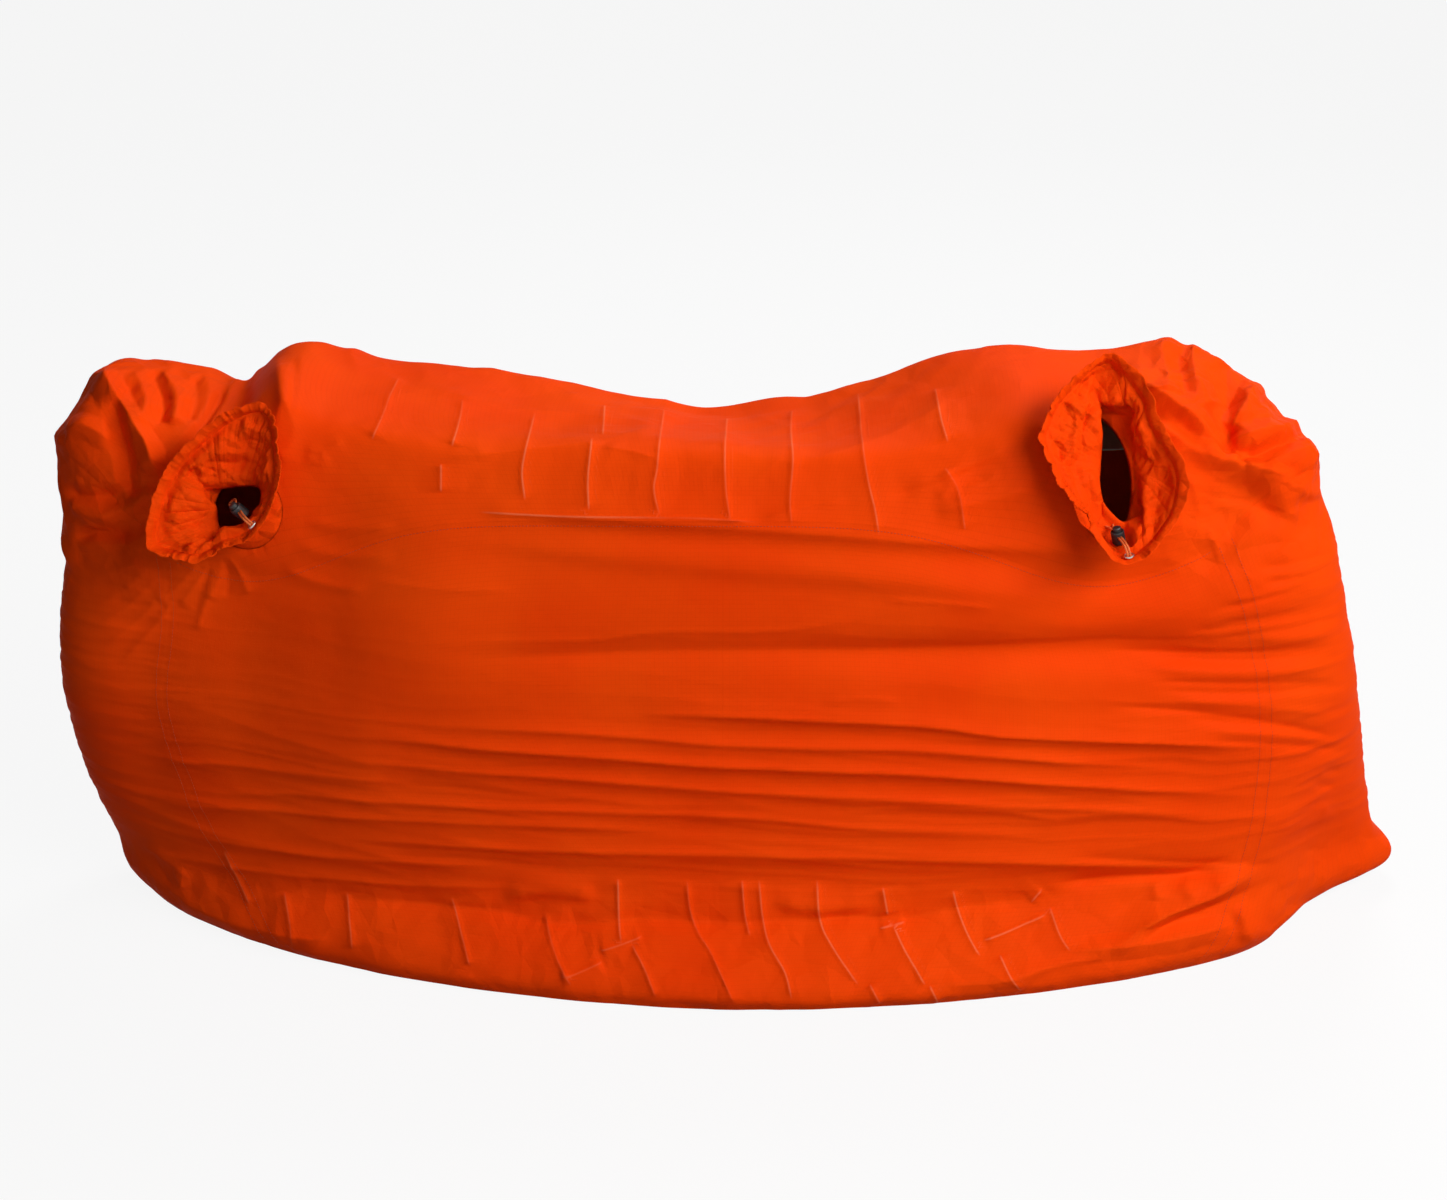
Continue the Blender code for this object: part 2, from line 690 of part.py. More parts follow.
def build_cord(vent, home, material):
    """The elastic drawcord, one closed loop of cord."""
    points = cord_points(vent)
    length = np.linalg.norm(points - np.roll(points, 1, axis=0), axis=1).sum()
    curve = bpy.data.curves.new(vent.side + "_drawcord", "CURVE")
    curve.dimensions = "3D"
    curve.bevel_depth = CORD_D / 2
    curve.bevel_resolution = 2
    curve.use_fill_caps = True
    line = curve.splines.new("POLY")
    line.points.add(len(points) - 1)
    for i, p in enumerate(points):
        line.points[i].co = (p[0], p[1], p[2], 1.0)
    line.use_cyclic_u = True
    obj = bpy.data.objects.new(vent.side + "_drawcord", curve)
    curve.materials.append(material)
    home.objects.link(obj)
    apart = np.linalg.norm(points[:, None, :] - points[None, :, :], axis=-1)
    run = np.cumsum(np.linalg.norm(points - np.roll(points, 1, axis=0), axis=1))
    along = np.abs(run[:, None] - run[None, :])
    along = np.minimum(along, length - along)
    least = apart[along > 5 * CORD_D].min() - CORD_D
    print(obj.name, "length", round(length, 4), "least gap to itself", round(least, 5))
    return obj


def turned(name, profile, home, material, frame, segments=24):
    """Turned piece from a profile in the XZ plane, outer side from top to bottom."""
    mesh = bpy.data.meshes.new(name)
    bm = bmesh.new()
    verts = [bm.verts.new((r, 0.0, z)) for r, z in profile]
    for i in range(len(verts) - 1):
        bm.edges.new((verts[i], verts[i + 1]))
    if profile[0][0] > 1e-6:
        bm.edges.new((verts[-1], verts[0]))
    bm.to_mesh(mesh)
    bm.free()
    obj = add_object(name, mesh, home, material, smooth=0)
    mod = obj.modifiers.new("Screw", "SCREW")
    mod.steps = segments
    mod.render_steps = segments
    mod.use_merge_vertices = True
    mod.merge_threshold = 0.00001
    mod.use_smooth_shade = True
    mod.use_normal_calculate = False
    obj.matrix_world = frame
    return obj


def box_cutter(name, size, place, cutters, frame):
    """Box that cuts a slot."""
    mesh = bpy.data.meshes.new(name)
    bm = bmesh.new()
    bmesh.ops.create_cube(bm, size=1.0)
    bmesh.ops.scale(bm, vec=size, verts=bm.verts)
    bm.to_mesh(mesh)
    bm.free()
    obj = as_cutter(bpy.data.objects.new(name, mesh))
    cutters.objects.link(obj)
    obj.matrix_world = frame @ Matrix.Translation(place)
    return obj


def lock_frame(vent):
    """Frame of the cord lock: X across both strands, Y along them, Z the way the button faces."""
    return eyelet_frame(vent) @ Matrix.Translation((0, TAIL_START + LOCK_AT, TAIL_LIFT))


def build_lock(vent, home, cutters, materials):
    """Barrel, push button and spring of one cord lock."""
    frame = lock_frame(vent)
    low = LOCK_LOW
    top = LOCK_TOP
    r = LOCK_R
    floor = low + LOCK_FLOOR
    barrel_profile = [
        (LOCK_BORE + 0.0006, top), (r - 0.0009, top), (r - 0.0002, top - 0.0004), (r, top - 0.0011),
        (r, low + 0.0022), (r - 0.0004, low + 0.0010), (r - 0.0016, low), (0.0, low),
    ]
    bore = [(0.0, floor), (LOCK_BORE, floor), (LOCK_BORE, top - 0.0006), (LOCK_BORE + 0.0006, top)]
    barrel = turned(vent.side + "_lock_barrel", barrel_profile[:-1] + [(0.0, low)], home,
                    materials["black"], frame)
    barrel_mesh_close(barrel, bore)
    slot = (2 * SLOT_HALF_WIDTH, 4 * r, 2 * SLOT_HALF_HEIGHT)
    cut(barrel, box_cutter(vent.side + "_barrel_slot", slot, (0, 0, 0), cutters, frame))
    p = PLUNGER_R
    high = PLUNGER_TOP
    button_profile = [
        (0.0, high), (p * 0.62, high), (p - 0.0007, high - 0.0003), (p, high - 0.0012),
        (p, PLUNGER_LOW + 0.0004), (p - 0.0004, PLUNGER_LOW), (0.0, PLUNGER_LOW),
    ]
    button = turned(vent.side + "_lock_plunger", button_profile, home, materials["black"], frame)
    tall = 2 * SLOT_HALF_HEIGHT + PLUNGER_TRAVEL
    size = (2 * SLOT_HALF_WIDTH, 4 * r, tall)
    place = (0, 0, PLUNGER_TRAVEL / 2)
    cut(button, box_cutter(vent.side + "_plunger_slot", size, place, cutters, frame))
    return [barrel, button, build_spring(vent, home, materials["steel"], frame, floor)]


def barrel_mesh_close(barrel, bore):
    """Join the bore's profile to the barrel's, so that one turned wall has both faces."""
    mesh = barrel.data
    bm = bmesh.new()
    bm.from_mesh(mesh)
    bm.verts.ensure_lookup_table()
    first = bm.verts[0]
    last = bm.verts[len(bm.verts) - 1]
    for edge in list(bm.edges):
        if first in edge.verts and last in edge.verts:
            bm.edges.remove(edge)
    verts = [bm.verts.new((r, 0.0, z)) for r, z in bore[:-1]]
    for i in range(len(verts) - 1):
        bm.edges.new((verts[i], verts[i + 1]))
    bm.edges.new((verts[-1], first))
    bm.to_mesh(mesh)
    bm.free()


def build_spring(vent, home, material, frame, floor):
    """The spring under the button, as one open helix."""
    low = floor + 0.0003 + SPRING_WIRE / 2
    high = PLUNGER_LOW - 0.0003 - SPRING_WIRE / 2
    curve = bpy.data.curves.new(vent.side + "_lock_spring", "CURVE")
    curve.dimensions = "3D"
    curve.bevel_depth = SPRING_WIRE / 2
    curve.bevel_resolution = 0
    curve.use_fill_caps = True
    line = curve.splines.new("POLY")
    count = int(SPRING_TURNS * 12) + 1
    line.points.add(count - 1)
    for i in range(count):
        a = 2 * math.pi * SPRING_TURNS * i / (count - 1)
        z = low + (high - low) * i / (count - 1)
        line.points[i].co = (SPRING_R * math.cos(a), SPRING_R * math.sin(a), z, 1.0)
    obj = bpy.data.objects.new(vent.side + "_lock_spring", curve)
    curve.materials.append(material)
    home.objects.link(obj)
    obj.matrix_world = frame
    return obj


def build_eyelet(vent, home, material):
    """The eyelet on the channel's inner face, through which both strands leave."""
    major = (EYELET_OUTER + EYELET_INNER) / 2
    minor = (EYELET_OUTER - EYELET_INNER) / 2
    profile = []
    for k in range(6):
        a = math.pi / 2 - 2 * math.pi * k / 6
        profile.append((major + minor * math.cos(a), 0.7 * minor * math.sin(a)))
    lift = CHANNEL_THICK / 2 + 0.7 * minor + 0.0010
    place = eyelet_frame(vent) @ Matrix.Translation((0, 0, lift))
    return turned(vent.side + "_eyelet", profile, home, material, place, segments=16)


def build_vent(vent, roof_panel, home, cutters, materials):
    """All pieces of one vent and its hole in the roof."""
    seam = build_collar(vent, home, materials["collar"])
    frame = vent.frame()
    mesh = bpy.data.meshes.new(vent.side + "_vent_hole")
    bm = bmesh.new()
    bmesh.ops.create_cone(bm, cap_ends=True, segments=48, radius1=1.0, radius2=1.0, depth=0.09)
    bmesh.ops.scale(bm, vec=(vent.hole[0], vent.hole[1], 1.0), verts=bm.verts)
    bm.to_mesh(mesh)
    bm.free()
    hole = as_cutter(bpy.data.objects.new(vent.side + "_vent_hole", mesh))
    cutters.objects.link(hole)
    hole.matrix_world = frame @ Matrix.Translation((vent.shift[0], vent.shift[1], float(seam.mean())))
    cut(roof_panel, hole)
    print(vent.side, "collar reach", np.round(-seam.max(), 3), np.round(-seam.min(), 3))
    pieces = [build_channel(vent, home, cutters, materials["collar"]),
              build_cord(vent, home, materials["elastic"]),
              build_eyelet(vent, home, materials["steel"])]
    pieces += build_lock(vent, home, cutters, materials)
    empty = rim_axis(vent, home)
    bpy.context.view_layer.update()
    for piece in pieces:
        hang(piece, empty)
    out = vent.frame().to_3x3() @ Vector((0, 0, 1))
    lock = lock_frame(vent)
    print(vent.side, "rim axis", [round(c, 4) for c in out], "mouth", vent.mouth)
    print(vent.side, "lock at", [round(c, 4) for c in lock.translation],
          "along", [round(c, 4) for c in lock.to_3x3() @ Vector((0, 1, 0))],
          "button", [round(c, 4) for c in lock.to_3x3() @ Vector((0, 0, 1))])


def main():
    """Build the whole shelter."""
    clear_scene()
    home = collection("survival_shelter")
    cutters = collection("cutters")
    materials = {
        "cloth": finish("ripstop_nylon_orange", ORANGE, 0.45),
        "collar": finish("ripstop_nylon_collar", ORANGE_DARK, 0.45),
        "tape": finish("seam_tape", TAPE_GREY, 0.40),
        "hem": finish("hem_nylon", ORANGE_DARK, 0.50),
        "elastic": finish("elastic_cord_orange", ELASTIC, 0.70),
        "black": finish("black_plastic", BLACK, 0.40),
        "steel": finish("plated_steel", STEEL, 0.30, 1.0),
    }
    build_walls(home, materials)
    roof_panel = build_roof(home, materials)
    build_corner_tapes(home, materials["tape"])
    build_roof_tapes(home, materials["tape"])
    build_hems(home, materials["hem"])
    for vent in VENTS:
        build_vent(vent, roof_panel, home, cutters, materials)


main()
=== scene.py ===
"""Survival shelter, dressed for rendering over its CAD frame.

Metres, +Z up, +X along the length, the front with both vents faces -Y.
Every cloth panel is one fine grid over the same base surface that the solids have. Folds
are laid on it where the photograph shows them, given by pixels of its 1447 by 1200 frame.
"""

import logging
import math
from dataclasses import dataclass, field
from enum import Enum

import bpy
import numpy as np
from bpy.types import Material, Node, NodeSocket, NodeTree, Object
from mathutils import Matrix, Vector
from numpy import ndarray as Array


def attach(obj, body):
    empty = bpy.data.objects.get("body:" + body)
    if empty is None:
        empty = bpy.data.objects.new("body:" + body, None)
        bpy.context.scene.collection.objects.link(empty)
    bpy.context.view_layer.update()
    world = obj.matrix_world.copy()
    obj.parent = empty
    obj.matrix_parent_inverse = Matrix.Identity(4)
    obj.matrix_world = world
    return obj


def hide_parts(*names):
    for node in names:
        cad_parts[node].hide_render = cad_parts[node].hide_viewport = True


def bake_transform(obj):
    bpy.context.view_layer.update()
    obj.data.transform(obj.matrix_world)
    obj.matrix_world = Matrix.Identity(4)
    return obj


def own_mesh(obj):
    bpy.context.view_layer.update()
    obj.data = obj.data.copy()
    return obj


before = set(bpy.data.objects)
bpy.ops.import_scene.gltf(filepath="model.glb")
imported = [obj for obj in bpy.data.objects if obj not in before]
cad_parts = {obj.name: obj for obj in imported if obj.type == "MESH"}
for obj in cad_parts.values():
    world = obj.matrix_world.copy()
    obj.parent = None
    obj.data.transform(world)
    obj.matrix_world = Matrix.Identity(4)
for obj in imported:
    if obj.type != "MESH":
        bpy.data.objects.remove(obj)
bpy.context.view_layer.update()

LOG = logging.getLogger("shelter")
PLAN_MIDDLE = (-0.02419, 0.02921)
MIDDLE = np.array((*PLAN_MIDDLE, 0.0))
TAU = 2.0 * math.pi


# Curves, ramps and noise

def spline(xs: Array, ys: Array, x: Array) -> Array:
    """Smooth curve through points, by cubic pieces whose slopes are weighted means.

    Args:
        xs: Places of the points, rising.
        ys: Values at them.
        x: Where the curve is read.

    Returns:
        The curve's values at x.
    """
    xs, ys = np.asarray(xs, float), np.asarray(ys, float)
    step = np.diff(xs)
    slope = np.diff(ys) / step
    tangent = np.empty_like(ys)
    tangent[0], tangent[-1] = slope[0], slope[-1]
    tangent[1:-1] = (slope[:-1] * step[1:] + slope[1:] * step[:-1]) / (step[1:] + step[:-1])
    x = np.clip(x, xs[0], xs[-1])
    i = np.clip(np.searchsorted(xs, x, side="right") - 1, 0, len(xs) - 2)
    h = xs[i + 1] - xs[i]
    t = (x - xs[i]) / h
    start = (2 * t ** 3 - 3 * t ** 2 + 1) * ys[i] + (t ** 3 - 2 * t ** 2 + t) * h * tangent[i]
    end = (3 * t ** 2 - 2 * t ** 3) * ys[i + 1] + (t ** 3 - t ** 2) * h * tangent[i + 1]
    return start + end


def ramp(a: float, b: float, x: Array) -> Array:
    """Smooth step from 0 at a to 1 at b."""
    t = np.clip((x - a) / (b - a), 0.0, 1.0)
    return t * t * (3.0 - 2.0 * t)


def swell(x: Array, centre: float, width: float) -> Array:
    """Bell of height 1."""
    return np.exp(-((x - centre) / width) ** 2)


def smooth_path(points: Array, per: int = 8, closed: bool = False) -> Array:
    """Curve through points, by cubic pieces whose slope is half of the neighbours' chord.

    Args:
        points: The points, in rows.
        per: Points made for each piece.
        closed: Whether the curve comes back to its first point.

    Returns:
        The points of the curve.
    """
    p = np.asarray(points, float)
    before, after = (p[-1:], p[:2]) if closed else (2 * p[:1] - p[1:2], 2 * p[-1:] - p[-2:-1])
    ends = np.vstack([before, p, after])
    a, b, c, d = (q[:, None, :] for q in (ends[:-3], ends[1:-2], ends[2:-1], ends[3:]))
    t = (np.arange(per) / per)[None, :, None]
    curve = 2 * b + (c - a) * t + (2 * a - 5 * b + 4 * c - d) * t ** 2
    out = (0.5 * (curve + (3 * b - a - 3 * c + d) * t ** 3)).reshape(-1, p.shape[1])
    return out if closed else np.vstack([out, p[-1:]])


def arc_length(points: Array) -> Array:
    """Length of a path up to each of its points."""
    return np.concatenate([[0.0], np.cumsum(np.linalg.norm(np.diff(points, axis=0), axis=1))])


def read_path(at: Array, run: Array, points: Array) -> Array:
    """Points of a path at given lengths along it, straight between its own points."""
    return np.stack([np.interp(at, run, points[:, k]) for k in range(points.shape[1])], -1)


def turn_between(angle: Array, other: Array | float) -> Array:
    """Size of the turn from one angle to another, from 0 to half a circle."""
    return np.abs(np.mod(angle - other + math.pi, TAU) - math.pi)


def round_values(angle: Array, values: Array, at: Array) -> Array:
    """Values known at scattered angles, read at other angles round the full circle.

    Args:
        angle: Angles at which the values are known, from minus to plus half a circle.
        values: The values.
        at: Angles to read them at.

    Returns:
        A value for each of these, straight between the known ones.
    """
    order = np.argsort(angle)
    known = angle[order]
    wrapped = np.concatenate([known - TAU, known, known + TAU])
    return np.interp(np.mod(at + math.pi, TAU) - math.pi, wrapped, np.tile(values[order], 3))


def scrambled(cell: Array, seed: int) -> Array:
    """Fixed random whole numbers from lattice places, by multiplying with primes and shifting bits.

    Args:
        cell: Whole-number places, three to a row.
        seed: Which scatter.

    Returns:
        A number of 32 bits for each place.
    """
    h = (cell[..., 0] * 73856093) ^ (cell[..., 1] * 19349663) ^ (cell[..., 2] * 83492791)
    h = (h ^ (seed * 2654435761)) & 0xFFFFFFFF
    h = ((h ^ (h >> 15)) * 2246822519) & 0xFFFFFFFF
    h = ((h ^ (h >> 13)) * 3266489917) & 0xFFFFFFFF
    return h ^ (h >> 16)


def lattice_values(cell: Array, seed: int) -> Array:
    """Three fixed random numbers from 0 to 1 at each lattice place."""
    h = scrambled(cell, seed)
    return np.stack([(h & 1023), (h >> 10) & 1023, (h >> 20) & 1023], -1) / 1023.0


def noise(p: Array, seed: int) -> Array:
    """Gradient noise from about -1 to 1: random slopes at lattice points, blended between them.

    Args:
        p: Points, in lattice steps.
        seed: Which noise.

    Returns:
        One value for each point.
    """
    cell = np.floor(p).astype(np.int64)
    f = p - cell
    w = f * f * f * (f * (f * 6 - 15) + 10)
    total = np.zeros(p.shape[:-1])
    for i in (0, 1):
        for j in (0, 1):
            for k in (0, 1):
                corner = np.array((i, j, k))
                slope = lattice_values(cell + corner, seed) * 2.0 - 1.0
                part = (slope * (f - corner)).sum(-1)
                weight = np.where(corner == 1, w, 1.0 - w).prod(-1)
                total += weight * part
    return total * 1.6


def facets(p: Array, seed: int) -> Array:
    """Flat facets that meet in sharp creases, as in cloth that was crumpled, from -1 to 1.

    Lattice points have fixed random heights. Each lattice cube is cut into six corner pieces
    by the order of the three remainders, and the height is straight inside each piece.

    Args:
        p: Points, in lattice steps.
        seed: Which scatter, and how the lattice is turned.

    Returns:
        One value for each point.
    """
    turn = np.array(Matrix.Rotation(0.7 + seed, 3, Vector((0.3 + seed % 3, 0.8, 0.5))))
    q = p @ turn
    cell = np.floor(q).astype(np.int64)
    f = q - cell
    order = np.argsort(-f, axis=-1)
    f = np.concatenate([np.take_along_axis(f, order, -1), np.zeros(f.shape[:-1] + (1,))], -1)
    total = lattice_values(cell, seed)[..., 0] * (1.0 - f[..., 0])
    for k in range(3):
        cell = cell + (order[..., k:k + 1] == np.arange(3))
        total += lattice_values(cell, seed)[..., 0] * (f[..., k] - f[..., k + 1])
    return 2.0 * total - 1.0


def streaks(p: Array, seed: int) -> Array:
    """Ridges with a sharp crest and wide hollows between, from about -0.6 to 1."""
    n = np.abs(noise(p, seed))
    return (1.0 - np.clip(2.4 * n, 0.0, 1.0)) ** 1.6 - 0.35


# The photograph's viewpoint

@dataclass(frozen=True)
class Viewpoint:
    """Where the photograph was taken from, and the pixels of its frame."""

    width: int = 1447
    height: int = 1200
    distance: float = 2.9
    tilt: float = 27.0
    focal: float = 2325.3
    target: tuple[float, float, float] = (*PLAN_MIDDLE, 0.41)
    sensor: float = 36.0

    def axes(self) -> Array:
        """Rows: to the right, up and forward, as the camera sees them."""
        e = math.radians(self.tilt)
        return np.array([[1, 0, 0], [0, math.sin(e), math.cos(e)], [0, math.cos(e), -math.sin(e)]])

    def eye(self) -> Array:
        """The camera's place."""
        return np.array(self.target) - self.distance * self.axes()[2]

    def pixels(self, points: Array) -> Array:
        """Pixel at which each point shows.

        Args:
            points: Points in the part's frame.

        Returns:
            x to the right and y down, in the photograph's pixels.
        """
        seen = (points - self.eye()) @ self.axes().T
        scale = self.focal / seen[..., 2]
        return np.stack([self.width / 2 + scale * seen[..., 0], self.height / 2 - scale * seen[..., 1]], -1)

    def on_plane(self, pixels: Array, point: Array, normal: Array) -> Array:
        """Points of a plane that show at the given pixels.

        Args:
            pixels: Rows of x and y.
            point: A point of the plane.
            normal: Its normal.

        Returns:
            One point for each pixel.
        """
        p = np.asarray(pixels, float)
        axes = self.axes()
        across, down = p[:, :1] - self.width / 2, p[:, 1:] - self.height / 2
        ray = axes[2] + (across * axes[0] - down * axes[1]) / self.focal
        t = ((point - self.eye()) @ normal) / (ray @ normal)
        return self.eye() + ray * t[:, None]

    def make(self) -> None:
        """Make the scene's camera."""
        data = bpy.data.cameras.new("camera")
        data.sensor_width = self.sensor
        data.lens = self.focal / self.width * self.sensor
        data.clip_start, data.clip_end = 0.05, 60.0
        camera = bpy.data.objects.new("camera", data)
        bpy.context.scene.collection.objects.link(camera)
        right, up, forward = self.axes()
        turn = Matrix((right, up, -forward)).transposed().to_4x4()
        camera.matrix_world = Matrix.Translation(Vector(self.eye())) @ turn
        bpy.context.scene.camera = camera


VIEW = Viewpoint()


# Folds

class Crest(Enum):
    """How sharp a fold is along its line: the power in its profile, or 0 for two flat slopes."""

    FLAT = 0.0
    SHARP = 1.0
    FIRM = 1.35
    ROUND = 2.0


@dataclass(frozen=True)
class Fold:
    """One fold: its line in the photograph's pixels, x and y in turn, and its rise in millimetres.

    Above and below are its half widths in pixels on the two sides of its line, as seen
    when going along it from left to right. A fold that sinks in has a negative rise.
    """

    line: tuple[float, ...]
    rise: float
    above: float
    below: float
    crest: Crest
    fade: float

    def measure(self, pixels: Array, reach: float) -> tuple[Array, Array, Array]:
        """Where points of the cloth lie by the fold's line.

        Args:
            pixels: Where the points show.
            reach: Farthest distance that matters, in pixels.

        Returns:
            A mask of the points near enough, and for these the distance, positive below the
            line, and the fade toward both ends.
        """
        path = smooth_path(np.array(self.line).reshape(-1, 2), 4 if len(self.line) > 16 else 5)
        near = ((pixels > path.min(0) - reach) & (pixels < path.max(0) + reach)).all(-1)
        p = pixels[near]
        best = np.full(len(p), 1e9)
        side = np.zeros(len(p))
        along = np.zeros(len(p))
        run = arc_length(path)
        for k in range(len(path) - 1):
            a, step = path[k], path[k + 1] - path[k]
            rel = p - a
            t = np.clip((rel @ step) / (step @ step), 0.0, 1.0)
            gap = rel - t[:, None] * step
            far = np.hypot(gap[:, 0], gap[:, 1])
            nearer = far < best
            best = np.where(nearer, far, best)
            side = np.where(nearer, step[0] * rel[:, 1] - step[1] * rel[:, 0], side)
            along = np.where(nearer, run[k] + t * (run[k + 1] - run[k]), along)
        share = along / run[-1]
        fade = ramp(0.0, self.fade, share) * ramp(1.0, 1.0 - self.fade, share)
        return near, best * np.where(side > 0, 1.0, -1.0), fade

    def height(self, pixels: Array) -> Array:
        """Rise of the fold: its profile across times a fade toward both ends.

        The profile is e to the minus (distance over half width) to the crest's power. A flat
        crest is a ridge of two straight slopes that end at the half width.

        Args:
            pixels: Where the points of the cloth show.

        Returns:
            Rise in metres at each point.
        """
        reach = (4.0 if self.crest.value else 1.0) * max(self.above, self.below)
        near, far, fade = self.measure(pixels, reach)
        q = np.abs(far) / np.where(far > 0, self.below, self.above)
        profile = np.exp(-q ** self.crest.value) if self.crest.value else np.clip(1.0 - q, 0.0, 1.0)
        out = np.zeros(pixels.shape[:-1])
        out[near] = 0.001 * self.rise * profile * fade
        return out


FLAT, SHARP, FIRM, ROUND = Crest


def folds(rise: float, above: float, below: float, crest: Crest, fade: float,
          *lines: tuple[float, ...]) -> tuple[Fold, ...]:
    """Several folds of one kind: rise in millimetres, the rest in pixels and shares, as in Fold."""
    return tuple(Fold(tuple(line), rise, above, below, crest, fade) for line in lines)


def pressed(line_rise: float, panel_rise: float, panel: float, *lines: tuple) -> tuple[Fold, ...]:
    """Creases pressed in by packing: a thin ridge, with a flat panel tilted away on each side of it.

    Args:
        line_rise: Rise of the ridge in millimetres.
        panel_rise: Rise of the panels toward it.
        panel: Width of a panel in pixels.
        lines: The creases.

    Returns:
        All the ridges, then all the panels.
    """
    ridges = folds(line_rise, 3.2, 3.2, SHARP, 0.1, *lines)
    return ridges + folds(panel_rise, panel, panel, FLAT, 0.1, *lines)


# Long taut folds across the front, each bright above and dark below
LONG_FOLDS = (
    folds(8.8, 15, 6, SHARP, 0.22, (600, 713, 700, 715, 780, 718, 870, 722, 940, 727, 1000, 735, 1080, 739,
        1180, 743, 1260, 746, 1330, 752))
    + folds(8.1, 12, 6, SHARP, 0.22, (300, 737, 400, 741, 470, 747, 540, 752, 620, 758, 700, 765, 800, 769,
        900, 773, 1000, 780, 1060, 784, 1150, 790, 1230, 795, 1290, 799))
    + folds(5.6, 9, 6, SHARP, 0.22, (400, 726, 480, 728, 560, 731, 640, 737, 720, 744, 800, 747, 900, 749,
        1000, 756, 1060, 761, 1150, 767, 1210, 772), (290, 756, 380, 763, 460, 771, 540, 776, 640, 784,
        720, 790, 800, 794, 900, 799, 1000, 806, 1080, 809, 1180, 813, 1262, 817))
    + folds(5.2, 10, 6, SHARP, 0.22, (120, 789, 180, 795, 240, 800, 300, 798, 400, 803, 500, 808, 600, 812,
        700, 815, 780, 820, 860, 828, 940, 831, 1020, 834, 1100, 838),
        (105, 796, 130, 805, 180, 809, 240, 813, 300, 816, 400, 820, 500, 824, 600, 828, 700, 834),
        (110, 812, 140, 823, 200, 838, 260, 848, 320, 855, 400, 861, 520, 866))
    + folds(6.9, 12, 7, SHARP, 0.22, (280, 837, 400, 842, 500, 848, 600, 852, 700, 854, 800, 856, 880, 858,
        960, 860, 1040, 862, 1120, 865, 1200, 867, 1270, 868))
    + folds(5.0, 10, 6, SHARP, 0.22,
        (120, 834, 150, 850, 190, 859, 240, 868, 290, 874, 360, 881, 430, 886, 520, 887),
        (120, 770, 200, 770, 270, 776, 330, 779, 420, 783))
)

# Soft waves of the upper front, and the fold line under the bulge
UPPER_WAVES = (
    folds(6.0, 20, 8, FIRM, 0.22, (440, 505, 520, 513, 620, 520, 720, 527, 820, 534, 920, 542, 1020, 549,
        1120, 555, 1215, 562))
    + folds(3.5, 18, 12, ROUND, 0.22,
        (420, 530, 520, 545, 640, 558, 760, 569, 880, 579, 1000, 591, 1100, 600, 1180, 606))
    + folds(-7.0, 16, 20, FIRM, 0.22, (430, 662, 540, 657, 650, 653, 780, 652, 900, 650, 1040, 645,
        1110, 641, 1200, 641, 1290, 640))
    + folds(1.6, 4, 5, SHARP, 0.22, (420, 642, 520, 641, 600, 640, 660, 632, 760, 632, 820, 626, 880, 617),
        (880, 600, 940, 603, 1000, 609), (820, 702, 860, 698, 905, 702), (360, 578, 440, 588, 520, 590))
    + folds(-3.0, 34, 34, ROUND, 0.35, (335, 440, 333, 560, 335, 640, 340, 760))
    + folds(5.0, 60, 60, ROUND, 0.35, (425, 440, 430, 560, 425, 640, 430, 750))
)

# Fine wrinkles drawn in toward the right end
RIGHT_WRINKLES = (
    folds(-2.6, 5, 4, FIRM, 0.22, (1205, 612, 1260, 600, 1320, 582, 1348, 572),
        (1210, 626, 1280, 615, 1345, 598), (1180, 633, 1250, 625, 1320, 612, 1350, 600),
        (1210, 640, 1290, 628, 1350, 614), (1100, 651, 1200, 653, 1300, 650, 1350, 640),
        (1140, 658, 1250, 661, 1350, 651), (1140, 681, 1230, 684, 1345, 682),
        (1150, 691, 1250, 693, 1352, 686), (1100, 706, 1180, 711, 1260, 721, 1340, 737),
        (1180, 718, 1240, 724, 1300, 731, 1352, 742), (1200, 740, 1280, 745, 1355, 752),
        (1320, 771, 1366, 772), (1310, 785, 1368, 790), (1255, 570, 1300, 562, 1335, 552),
        (1260, 585, 1310, 575, 1340, 563))
    + folds(2.2, 6, 5, FIRM, 0.22, (1220, 604, 1280, 592, 1345, 578), (1160, 646, 1250, 648, 1345, 634),
        (1130, 668, 1230, 672, 1345, 668), (1170, 700, 1260, 706, 1345, 716),
        (1200, 728, 1280, 735, 1355, 742), (1250, 640, 1300, 636, 1350, 624))
)

